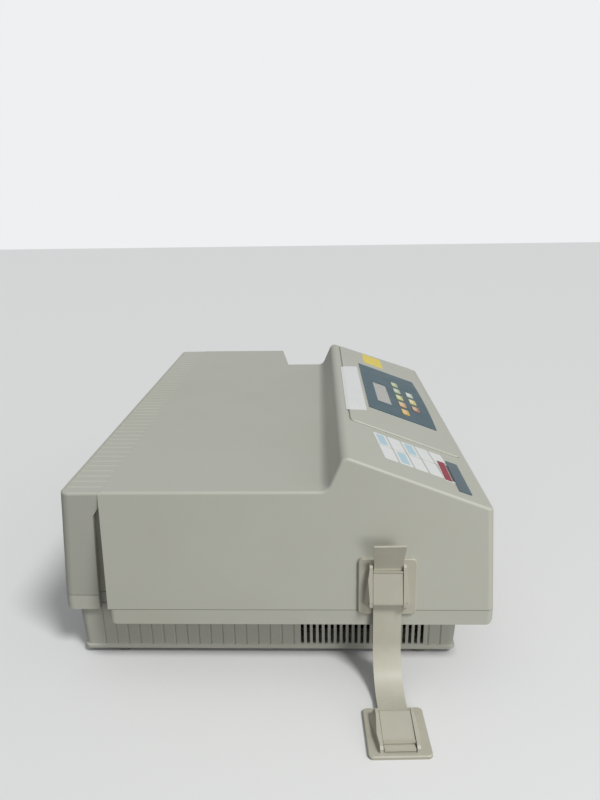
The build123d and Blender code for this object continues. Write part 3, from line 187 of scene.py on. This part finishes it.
# noise drawn out by the group's Stretch; its scale stays at 1, so that Stretch alone sets the size
def stretchedNoise(add, link, src, detail):
    place, noise = add("ShaderNodeTexCoord"), add("ShaderNodeTexNoise")
    scale = mathNode(add, "MULTIPLY", "ShaderNodeVectorMath")
    noise.inputs["Scale"].default_value = 1.0
    noise.inputs["Detail"].default_value = detail
    link(place.outputs["Object"], scale.inputs[0])
    link(src.outputs["Stretch"], scale.inputs[1])
    link(scale.outputs[0], noise.inputs["Vector"])
    return noise.outputs["Fac"]


# hairline scratches running mostly one way
def makeScuffs():
    group, src, dst = newGroup("scuffs", [
        ("Stretch", "NodeSocketVector", (40.0, 900.0, 900.0)), ("Level", "NodeSocketFloat", 0.62)],
        [("Mask", "NodeSocketFloat")])
    add, link = group.nodes.new, group.links.new
    cut = mathNode(add, "GREATER_THAN")
    link(stretchedNoise(add, link, src, fineness["scuff"]), cut.inputs[0])
    link(src.outputs["Level"], cut.inputs[1])
    link(cut.outputs[0], dst.inputs["Mask"])
    return group


# brushed or turned metal: fine streaks along one axis
def makeBrushed():
    group, src, dst = newGroup("brushedGrain", [
        ("Stretch", "NodeSocketVector", (30.0, 700.0, 700.0)), ("Low", "NodeSocketFloat", 0.25),
        ("High", "NodeSocketFloat", 0.45)],
        [("Roughness", "NodeSocketFloat"), ("Height", "NodeSocketFloat")])
    add, link = group.nodes.new, group.links.new
    streaks, spread = stretchedNoise(add, link, src, fineness["brushed"]), add("ShaderNodeMapRange")
    link(streaks, spread.inputs["Value"])
    link(src.outputs["Low"], spread.inputs["To Min"])
    link(src.outputs["High"], spread.inputs["To Max"])
    link(spread.outputs["Result"], dst.inputs["Roughness"])
    link(streaks, dst.inputs["Height"])
    return group


mouldedSkin, agedTone, scuffs, brushedGrain = makeMouldedSkin(), makeAgedTone(), makeScuffs(), makeBrushed()


def useGroup(mat, group, **values):
    node = mat.node_tree.nodes.new("ShaderNodeGroup")
    node.node_tree = group
    for label, value in values.items():
        node.inputs[label.replace("_", " ")].default_value = value
    return node


def blank(name):
    mat = bpy.data.materials.new(name)
    mat.use_nodes = True
    return mat, mat.node_tree.nodes["Principled BSDF"], mat.node_tree.links.new


def addBump(mat, shader, height, strength, distance):
    bump = mat.node_tree.nodes.new("ShaderNodeBump")
    bump.inputs["Strength"].default_value = strength
    bump.inputs["Distance"].default_value = distance
    mat.node_tree.links.new(height, bump.inputs["Height"])
    mat.node_tree.links.new(bump.outputs["Normal"], shader.inputs["Normal"])


def roughSpread(mat, shader, patches, low, high):
    spread = mat.node_tree.nodes.new("ShaderNodeMapRange")
    spread.inputs["To Min"].default_value = low
    spread.inputs["To Max"].default_value = high
    mat.node_tree.links.new(patches, spread.inputs["Value"])
    mat.node_tree.links.new(spread.outputs["Result"], shader.inputs["Roughness"])


# moulded or painted plastic and rubber
plasticLook = {"aged": 0.82, "dustColour": tone(196, 195, 186), "grainHeight": 0.25, "waveScale": 11.0,
               "waveHeight": 0.12, "bump": 0.35, "bumpDepth": 0.0002, "coatRoughness": 0.25}


def plastic(name, color, aged=None, amount=0.35, patch=6.0, dust=0.06, rough=(0.42, 0.56), grain=1100.0,
            sheen=0.0):
    mat, shader, link = blank(name)
    old = useGroup(mat, agedTone, Color=color, Aged_Color=aged or shade(color, plasticLook["aged"]),
                   Amount=amount, Patch_Scale=patch, Dust=dust, Dust_Color=plasticLook["dustColour"])
    skin = useGroup(mat, mouldedSkin, Grain_Scale=grain, Grain_Height=plasticLook["grainHeight"],
                    Wave_Scale=plasticLook["waveScale"], Wave_Height=plasticLook["waveHeight"])
    link(old.outputs["Color"], shader.inputs["Base Color"])
    roughSpread(mat, shader, old.outputs["Patches"], *rough)
    addBump(mat, shader, skin.outputs["Height"], plasticLook["bump"], plasticLook["bumpDepth"])
    shader.inputs["Coat Weight"].default_value = sheen
    shader.inputs["Coat Roughness"].default_value = plasticLook["coatRoughness"]
    return mat


# metals with a worked surface; low and high are the least and greatest roughness
metalLook = {"aged": 0.7, "amount": 0.3, "patch": 18.0, "bump": 0.2, "bumpDepth": 0.00005}


def metal(name, color, low, high, stretch=(30.0, 700.0, 700.0)):
    mat, shader, link = blank(name)
    grain = useGroup(mat, brushedGrain, Stretch=stretch, Low=low, High=high)
    old = useGroup(mat, agedTone, Color=color, Aged_Color=shade(color, metalLook["aged"]),
                   Amount=metalLook["amount"], Patch_Scale=metalLook["patch"], Dust=0.0)
    shader.inputs["Metallic"].default_value = 1.0
    link(old.outputs["Color"], shader.inputs["Base Color"])
    link(grain.outputs["Roughness"], shader.inputs["Roughness"])
    addBump(mat, shader, grain.outputs["Height"], metalLook["bump"], metalLook["bumpDepth"])
    return mat


# printed film and paper; flecks of wear show the paper's own colour
printedLook = {"aged": 0.86, "amount": 0.4, "patch": 40.0, "dust": 0.03, "dustColour": tone(200, 200, 195),
               "scuffStretch": (60.0, 700.0, 500.0), "worn": 1.25, "roughStep": 0.12}


def printed(name, color, worn=None, rough=0.5, coat=0.0, level=0.7):
    mat, shader, link = blank(name)
    marks = useGroup(mat, scuffs, Stretch=printedLook["scuffStretch"], Level=level)
    old = useGroup(mat, agedTone, Color=color, Aged_Color=shade(color, printedLook["aged"]),
                   Amount=printedLook["amount"], Patch_Scale=printedLook["patch"], Dust=printedLook["dust"],
                   Dust_Color=printedLook["dustColour"])
    mix = colourMix(mat.node_tree.nodes.new)
    mix.inputs[mixSocket["second"]].default_value = worn or shade(color, printedLook["worn"])
    link(marks.outputs["Mask"], mix.inputs["Factor"])
    link(old.outputs["Color"], mix.inputs[mixSocket["first"]])
    link(mix.outputs[mixSocket["result"]], shader.inputs["Base Color"])
    roughSpread(mat, shader, old.outputs["Patches"], rough, rough + printedLook["roughStep"])
    shader.inputs["Coat Weight"].default_value = coat
    return mat


# clear pieces: lenses, lamp and the display's pane
clearLook = {"aged": 0.93, "amount": 0.5, "patch": 60.0, "roughStep": 0.05, "ior": 1.49}


def clear(name, color, rough, through=1.0):
    mat, shader, link = blank(name)
    old = useGroup(mat, agedTone, Color=color, Aged_Color=shade(color, clearLook["aged"]),
                   Amount=clearLook["amount"], Patch_Scale=clearLook["patch"], Dust=0.0)
    link(old.outputs["Color"], shader.inputs["Base Color"])
    roughSpread(mat, shader, old.outputs["Patches"], rough, rough + clearLook["roughStep"])
    shader.inputs["Transmission Weight"].default_value = through
    shader.inputs["IOR"].default_value = clearLook["ior"]
    return mat


# a key's cap: pale middle, coloured rim; paleHalf is the middle's half size across and along, in metres
keyLook = {"paleHalf": (0.0068, 0.0026), "aged": 0.85, "amount": 0.25, "patch": 90.0, "dust": 0.04,
           "rough": (0.3, 0.42)}


def keyCap(name, middle, rim, centre):
    mat, shader, link = blank(name)
    add = mat.node_tree.nodes.new
    place, split, mix = add("ShaderNodeTexCoord"), add("ShaderNodeSeparateXYZ"), colourMix(add)
    shift, size, edge = (mathNode(add, operation, "ShaderNodeVectorMath")
                         for operation in ("SUBTRACT", "DIVIDE", "ABSOLUTE"))
    shift.inputs[1].default_value = centre
    size.inputs[1].default_value = keyLook["paleHalf"] + (1.0,)
    widest, cut = mathNode(add, "MAXIMUM"), mathNode(add, "GREATER_THAN")
    cut.inputs[1].default_value = 1.0
    mix.inputs[mixSocket["first"]].default_value = middle
    mix.inputs[mixSocket["second"]].default_value = rim
    old = useGroup(mat, agedTone, Aged_Color=shade(middle, keyLook["aged"]), Amount=keyLook["amount"],
                   Patch_Scale=keyLook["patch"], Dust=keyLook["dust"])
    link(place.outputs["Object"], shift.inputs[0])
    link(shift.outputs[0], size.inputs[0])
    link(size.outputs[0], edge.inputs[0])
    link(edge.outputs[0], split.inputs[0])
    link(split.outputs["X"], widest.inputs[0])
    link(split.outputs["Y"], widest.inputs[1])
    link(widest.outputs[0], cut.inputs[0])
    link(cut.outputs[0], mix.inputs["Factor"])
    link(mix.outputs[mixSocket["result"]], old.inputs["Color"])
    link(old.outputs["Color"], shader.inputs["Base Color"])
    roughSpread(mat, shader, old.outputs["Patches"], *keyLook["rough"])
    return mat


finish = {
    "case": tone(184, 184, 172), "caseAged": tone(168, 166, 148), "console": tone(186, 187, 175),
    "film": tone(34, 78, 90), "badge": tone(62, 88, 98), "strap": tone(188, 185, 169),
    "buckle": tone(182, 179, 163), "board": tone(30, 84, 52), "black": tone(26, 27, 29),
    "steel": tone(186, 188, 190), "alloy": tone(196, 198, 200),
}


def dress(material, *names):
    for name in names:
        slots = nodes[name].data.materials
        slots.clear()
        slots.append(material)


# case and console
dress(plastic("caseShell", finish["case"], finish["caseAged"], patch=4.0, dust=0.08, grain=1300.0),
      "top_cover")
dress(plastic("caseBase", finish["case"], finish["caseAged"], amount=0.45, dust=0.02, grain=1300.0),
      "base_tray", "drawer_front")
dress(plastic("consoleShell", finish["console"], finish["caseAged"], amount=0.25, patch=9.0,
              rough=(0.36, 0.5), grain=1500.0), "console_panel")
dress(printed("keypadFilm", finish["film"], rough=0.3, coat=0.25, level=0.76), "keypad_overlay")
# the display's pane and the body behind it are painted pale: a painted reflection of the room in the
# display's glass, not the display's own darker colour
dress(clear("displayPanePaintedReflection", tone(236, 233, 226), 0.12, through=0.45), "lcd_window")
dress(plastic("displayBodyPaintedReflection", tone(216, 212, 204), amount=0.2, patch=50.0, rough=(0.2, 0.3), sheen=0.3),
      "lcd_module")
dress(plastic("circuitBoard", finish["board"], tone(20, 62, 40), amount=0.6, patch=45.0,
              rough=(0.25, 0.4), sheen=0.4), "key_board", "main_board", "detector_board")
dress(printed("badgeFace", finish["badge"], rough=0.25, coat=0.4), "nameplate")
dress(plastic("footRubber", tone(120, 120, 108), amount=0.5, patch=60.0, dust=0.1, rough=(0.7, 0.9),
              grain=700.0), "feet")
dress(metal("screwSteel", finish["steel"], 0.25, 0.4), "case_screws")

# drawer and its drive
dress(metal("rodSteel", finish["steel"], 0.12, 0.22, (20.0, 900.0, 900.0)), "guide_rods", "motor_shaft")
dress(plastic("trayPlastic", tone(48, 50, 53), amount=0.4, patch=20.0, rough=(0.45, 0.6)),
      "drawer_tray", "plate_pusher")
dress(metal("machinedAlloy", finish["alloy"], 0.3, 0.5), "slide_block", "drawer_carrier", "filter_wheel")
dress(metal("turnedAlloy", finish["alloy"], 0.2, 0.35, (700.0, 700.0, 40.0)), "drive_pulley", "idler_pulley")
dress(metal("bushBronze", tone(186, 140, 84), 0.25, 0.4), "slide_bushes")
dress(plastic("beltRubber", tone(30, 30, 32), amount=0.4, patch=50.0, rough=(0.6, 0.8), grain=900.0),
      "drive_belt")
dress(plastic("motorPaint", tone(40, 41, 44), amount=0.4, patch=24.0, rough=(0.3, 0.45), sheen=0.2),
      "drawer_motor")

# optics
dress(plastic("anodisedBlack", tone(34, 35, 38), tone(50, 51, 54), amount=0.5, patch=18.0,
              rough=(0.38, 0.55)), "optics_head", "mono_box", "mono_lid", "grating_mount", "lamp_housing")
dress(clear("lensGlass", tone(232, 238, 242), 0.01), "lenses", "flash_lamp")
dress(metal("sensorCan", tone(190, 190, 196), 0.12, 0.2, (600.0, 600.0, 60.0)), "photodiodes")
dress(metal("ruledMirror", tone(214, 216, 226), 0.04, 0.09, (2400.0, 30.0, 30.0)), "grating")
dress(plastic("guideSheath", tone(28, 28, 30), amount=0.3, patch=30.0, rough=(0.5, 0.65), grain=800.0),
      "light_guide")

# rear panel and supply
dress(metal("zincSheet", tone(168, 170, 172), 0.3, 0.5, (60.0, 60.0, 400.0)), "chassis", "power_supply")
dress(plastic("rearPaint", tone(176, 176, 164), amount=0.3, patch=14.0, rough=(0.4, 0.5), grain=2000.0),
      "rear_panel")
dress(plastic("socketPlastic", finish["black"], tone(44, 44, 46), amount=0.4, patch=30.0, rough=(0.32, 0.5)),
      "power_inlet", "fuse_drawer", "switch_frame", "power_rocker", "fan_frame", "fan_rotor")
dress(metal("portMetal", tone(184, 184, 186), 0.25, 0.4, (200.0, 200.0, 200.0)),
      "serial_port", "printer_port")

# bench strap
dress(plastic("strapWeb", finish["strap"], tone(160, 156, 138), amount=0.5, patch=20.0, rough=(0.34, 0.5),
              grain=1600.0, sheen=0.15), "strap")
dress(plastic("buckleMoulding", finish["buckle"], tone(156, 152, 134), amount=0.4, patch=18.0,
              rough=(0.36, 0.5), grain=1500.0, sheen=0.1),
      "upper_buckle", "lower_buckle", "upper_lever", "lower_lever")

# middle and rim of each key, in the order of the nodes key_1 to key_8
keyColours = [
    (tone(206, 214, 190), tone(166, 182, 128)), (tone(214, 218, 204), tone(170, 184, 134)),
    (tone(224, 222, 186), tone(192, 190, 108)), (tone(222, 202, 160), tone(200, 156, 98)),
    (tone(230, 206, 142), tone(214, 166, 72)), (tone(226, 228, 220), tone(186, 196, 170)),
    (tone(230, 224, 182), tone(206, 188, 104)), (tone(210, 188, 152), tone(172, 106, 82)),
]
for number, (middle, rim) in enumerate(keyColours, 1):
    name = "key_" + str(number)
    low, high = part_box(name)
    dress(keyCap("cap" + str(number), middle, rim, (low + high) / 2), name)
print("stage: finishes on all nodes")


# the console slope in metres, from its ridge line down to its front edge
slope = {"ridgeY": -0.0555, "ridgeZ": 0.2135, "run": 0.1295, "fall": 0.0490}
slopeRidge = Vector((0.0, slope["ridgeY"], slope["ridgeZ"]))
slopeLength = math.hypot(slope["run"], slope["fall"])
slopeDown = Vector((0.0, -slope["run"] / slopeLength, -slope["fall"] / slopeLength))
slopeOut = Vector((0.0, -slope["fall"] / slopeLength, slope["run"] / slopeLength))


# a spot across the console, along its slope from the ridge and off its surface, in millimetres
def onSlope(x, along, lift):
    return (caseMiddle + slopeRidge + Vector((x, 0, 0)) / millimetres + slopeDown * along / millimetres
            + slopeOut * lift / millimetres)


# a finished bmesh becomes a piece that stays with the case
def placePiece(name, bm, material):
    bmesh.ops.recalc_face_normals(bm, faces=bm.faces)
    mesh = bpy.data.meshes.new(name)
    bm.to_mesh(mesh)
    bm.free()
    mesh.materials.append(material)
    piece = addObject(name, mesh)
    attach(piece, "case")


# thin printed pieces on the console, bare of any words; all sizes in millimetres
def roundedLoop(across, along, radius, steps=5):
    (x0, x1), (a0, a1) = across, along
    points = []
    for centreX, centreA, start in ((x1 - radius, a1 - radius, 0), (x0 + radius, a1 - radius, 90),
                                    (x0 + radius, a0 + radius, 180), (x1 - radius, a0 + radius, 270)):
        for step in range(steps + 1):
            turn = math.radians(start + 90 * step / steps)
            points.append((centreX + radius * math.cos(turn), centreA + radius * math.sin(turn)))
    return points


def slopeSticker(name, outline, lift, thick, material):
    bm = bmesh.new()
    top = [bm.verts.new(onSlope(x, along, lift + thick)) for x, along in outline]
    base = [bm.verts.new(onSlope(x, along, lift)) for x, along in outline]
    bm.faces.new(top)
    bm.faces.new(list(reversed(base)))
    for i in range(len(outline)):
        j = (i + 1) % len(outline)
        bm.faces.new((top[i], base[i], base[j], top[j]))
    placePiece(name, bm, material)


# a straight-edged strip that bends over a step; each row is along, lift, near end, far end
def bentLabel(name, rows, thick, material):
    bm = bmesh.new()
    top, base = ([[bm.verts.new(onSlope(x, along, lift + level)) for x in ends]
                  for along, lift, *ends in rows] for level in (thick, 0.0))
    for i in range(len(rows) - 1):
        for layer in (top, base):
            bm.faces.new((layer[i][0], layer[i][1], layer[i + 1][1], layer[i + 1][0]))
        for side in (0, 1):
            bm.faces.new((top[i][side], top[i + 1][side], base[i + 1][side], base[i][side]))
    for i in (0, len(rows) - 1):
        bm.faces.new((top[i][0], top[i][1], base[i][1], base[i][0]))
    placePiece(name, bm, material)


# how high the stickers lie off the slope, and how thick paper and print are
stickers = {"panelTop": 1.52, "caseTop": 0.02, "paper": 0.16, "ink": 0.03}
paper = printed("labelPaper", tone(226, 227, 224), worn=tone(205, 205, 200), rough=0.42, coat=0.1, level=0.74)
blueField = printed("blueField", tone(176, 204, 214), rough=0.42, level=0.74)
yellowPaper = printed("yellowPaper", tone(228, 206, 92), worn=tone(214, 190, 70), level=0.72)
redPrint = printed("redPrint", tone(150, 44, 62), rough=0.4, level=0.74)
darkPrint = printed("darkPrint", tone(86, 90, 86), rough=0.4, level=0.74)

# the white strip is bent down over the panel's back edge
nameStrip = [(33.0, stickers["panelTop"], -121.0, 77.0), (13.0, stickers["panelTop"], -141.5, 50.0),
             (11.4, 1.1, -142.3, 47.5), (9.0, 0.25, -142.5, 44.0)]
bentLabel("nameStrip", nameStrip, stickers["paper"], paper)

yellow = {"across": (124, 180), "along": (47, 76), "corner": 2.5}
slopeSticker("yellowSticker", roundedLoop(yellow["across"], yellow["along"], yellow["corner"]),
             stickers["panelTop"], stickers["paper"], yellowPaper)

# two rows of small labels; the near row stops one short of the far row, and blue gives row and column
labelRow = {"farX": -186.0, "nearX": -251.0, "start": 35.0, "step": 14.6, "gap": 1.4, "columns": (5, 4),
            "lean": 0.10, "rowGap": 0.7, "corner": 1.4, "blue": ((0, 0), (0, 2), (1, 1)), "rimX": 3,
            "rimAlong": 2.4, "fieldCorner": 0.8, "fieldSink": 0.01, "cornerSteps": 3, "fieldSteps": 2}


# the labels slant: each point moves along by its distance from the far edge
def leaned(points):
    return [(x, along + (labelRow["farX"] - x) * labelRow["lean"]) for x, along in points]


def makeLabelRow():
    farX, nearX, rowGap = labelRow["farX"], labelRow["nearX"], labelRow["rowGap"]
    middleX = (farX + nearX) / 2
    spans = ((middleX + rowGap, farX), (nearX, middleX - rowGap))
    fieldLift = stickers["caseTop"] + stickers["paper"] - labelRow["fieldSink"]
    rimX, rimAlong = labelRow["rimX"], labelRow["rimAlong"]
    for row, (x0, x1) in enumerate(spans):
        for column in range(labelRow["columns"][row]):
            name = "smallLabel" + str(row * labelRow["columns"][0] + column + 1)
            start = labelRow["start"] + column * labelRow["step"]
            end = start + labelRow["step"] - labelRow["gap"]
            outline = leaned(roundedLoop((x0, x1), (start, end), labelRow["corner"], labelRow["cornerSteps"]))
            slopeSticker(name, outline, stickers["caseTop"], stickers["paper"], paper)
            if (row, column) in labelRow["blue"]:
                across, along = (x0 + rimX, x1 - rimX), (start + rimAlong, end - rimAlong)
                field = leaned(roundedLoop(across, along, labelRow["fieldCorner"], labelRow["fieldSteps"]))
                slopeSticker(name + "Field", field, fieldLift, stickers["ink"], blueField)


makeLabelRow()

# a label with a red and a dark field; each gives its span across, its span along and its corner
warning = {"paper": ((-254.0, -206.0), (98.5, 113.7), 1.5), "red": ((-253.0, -207.0), (99.1, 106.5), 1.2),
           "dark": ((-251.0, -212.0), (106.9, 112.5), 0.8), "inkLift": 0.2}
slopeSticker("warningSticker", roundedLoop(*warning["paper"]), stickers["caseTop"], stickers["paper"], paper)
slopeSticker("redHalf", roundedLoop(*warning["red"]), warning["inkLift"], stickers["ink"], redPrint)
slopeSticker("darkHalf", roundedLoop(*warning["dark"]), warning["inkLift"], stickers["ink"], darkPrint)
print("stage: labels placed")


# the strap's cross ribs, in millimetres: fine ridges on its upper side, round the bend and to the lever.
# The first two lines are the strap's own route. In the last, rise, fall and shoulder are shares of a rib's
# width and height, and sunk is how deep its foot sits
strapRibs = {"turn": 2.0, "wallX": -290.0, "middleY": -94.5, "bend": 36.0, "thick": 1.8,
             "runZ": 5.1, "bendX": -294.5, "flatEnd": -345.0,
             "halfWidth": 12.2, "first": 22.0, "pitch": 2.3, "width": 1.1, "height": 0.35,
             "sunk": -0.1, "shoulder": 0.5, "rise": 0.3, "fall": 0.8}
strapArc = math.radians(90.0) * strapRibs["bend"]


# a spot on the strap: distance from the bend's start, across from its middle line, lift off its upper side
def strapSpot(distance, across, lift):
    inner = strapRibs["bend"] - strapRibs["thick"] / 2 - lift
    centreX, centreZ = strapRibs["bendX"] - strapRibs["bend"], strapRibs["runZ"] + strapRibs["bend"]
    if distance < strapArc:
        bent = distance / strapRibs["bend"]
        x, z = centreX + inner * math.cos(bent), centreZ - inner * math.sin(bent)
    else:
        x, z = centreX - (distance - strapArc), centreZ - inner
    way = math.radians(strapRibs["turn"])
    dx, dy = x - strapRibs["wallX"], across
    turnedX = strapRibs["wallX"] + dx * math.cos(way) - dy * math.sin(way)
    turnedY = strapRibs["middleY"] + dx * math.sin(way) + dy * math.cos(way)
    return caseMiddle + Vector((turnedX, turnedY, z)) / millimetres


def makeStrapRibs(material):
    flat = strapRibs["bendX"] - strapRibs["bend"] - strapRibs["flatEnd"]
    width, height, sunk = strapRibs["width"], strapRibs["height"], strapRibs["sunk"]
    bm = bmesh.new()
    for rib in range(int((strapArc + flat - strapRibs["first"]) / strapRibs["pitch"])):
        start = strapRibs["first"] + rib * strapRibs["pitch"]
        profile = [(start, sunk), (start, height * strapRibs["shoulder"]),
                   (start + width * strapRibs["rise"], height), (start + width * strapRibs["fall"], height),
                   (start + width, sunk)]
        left, right = ([bm.verts.new(strapSpot(distance, side * strapRibs["halfWidth"], lift))
                        for distance, lift in profile] for side in (-1, 1))
        bm.faces.new(left)
        bm.faces.new(list(reversed(right)))
        for i in range(len(profile)):
            j = (i + 1) % len(profile)
            bm.faces.new((left[i], right[i], right[j], left[j]))
    placePiece("strapRibs", bm, material)


makeStrapRibs(nodes["strap"].data.materials[0])
print("stage: strap ribs")


# floor, light and backdrop: lengths in metres, the sun's angle in degrees; bounce is the floor's colour as
# the object sees it, and skyLight the sky's
stageLook = {"floor": (0.80, 0.80, 0.79), "bounce": (0.22, 0.22, 0.22), "floorSize": 6.0,
             "floorRoughness": 0.7,
             "sky": (0.86, 0.87, 0.88), "skyLight": (0.62, 0.64, 0.66), "skyPower": 0.62,
             "sunPower": 1.9, "sunAngle": 14, "sunWay": (0.86, 0.74, -1.42),
             "sidePower": 2.6, "sideSize": 0.45, "sideSpot": (-0.98, -0.62, 0.16),
             "sideAim": (-0.24, -0.16, 0.07)}


def makeFloor():
    mesh = bpy.data.meshes.new("benchTop")
    bm = bmesh.new()
    bmesh.ops.create_grid(bm, x_segments=2, y_segments=2, size=stageLook["floorSize"])
    bm.to_mesh(mesh)
    bm.free()
    floor = addObject("benchTop", mesh)
    mat, shader, link = blank("benchSurface")
    add = mat.node_tree.nodes.new
    path, mix = add("ShaderNodeLightPath"), colourMix(add)
    mix.inputs[mixSocket["first"]].default_value = stageLook["bounce"] + (1,)
    mix.inputs[mixSocket["second"]].default_value = stageLook["floor"] + (1,)
    link(path.outputs["Is Camera Ray"], mix.inputs["Factor"])
    link(mix.outputs[mixSocket["result"]], shader.inputs["Base Color"])
    shader.inputs["Roughness"].default_value = stageLook["floorRoughness"]
    mesh.materials.append(mat)


def makeSky():
    world = bpy.data.worlds.new("softRoom")
    bpy.context.scene.world = world
    world.use_nodes = True
    world.node_tree.nodes.clear()
    add, link = world.node_tree.nodes.new, world.node_tree.links.new
    out, path, mix = add("ShaderNodeOutputWorld"), add("ShaderNodeLightPath"), add("ShaderNodeMixShader")
    seen, lit = add("ShaderNodeBackground"), add("ShaderNodeBackground")
    seen.inputs["Color"].default_value = stageLook["sky"] + (1,)
    lit.inputs["Color"].default_value = stageLook["skyLight"] + (1,)
    lit.inputs["Strength"].default_value = stageLook["skyPower"]
    link(path.outputs["Is Camera Ray"], mix.inputs["Fac"])
    link(lit.outputs[0], mix.inputs[1])
    link(seen.outputs[0], mix.inputs[2])
    link(mix.outputs[0], out.inputs["Surface"])


def aimLamp(lamp, way):
    lamp.rotation_euler = way.to_track_quat("-Z", "Y").to_euler()


def makeLamps():
    sun = bpy.data.lights.new("ceilingLight", "SUN")
    sun.energy, sun.angle = stageLook["sunPower"], math.radians(stageLook["sunAngle"])
    aimLamp(addObject("ceilingLight", sun), Vector(stageLook["sunWay"]))
    window = bpy.data.lights.new("windowLight", "AREA")
    window.energy, window.size = stageLook["sidePower"], stageLook["sideSize"]
    side = addObject("windowLight", window)
    side.location = Vector(stageLook["sideSpot"])
    aimLamp(side, Vector(stageLook["sideAim"]) - side.location)
    side.visible_camera = False


makeFloor()
makeSky()
makeLamps()
bpy.context.scene.view_settings.view_transform = "Standard"
print("stage: floor and light")
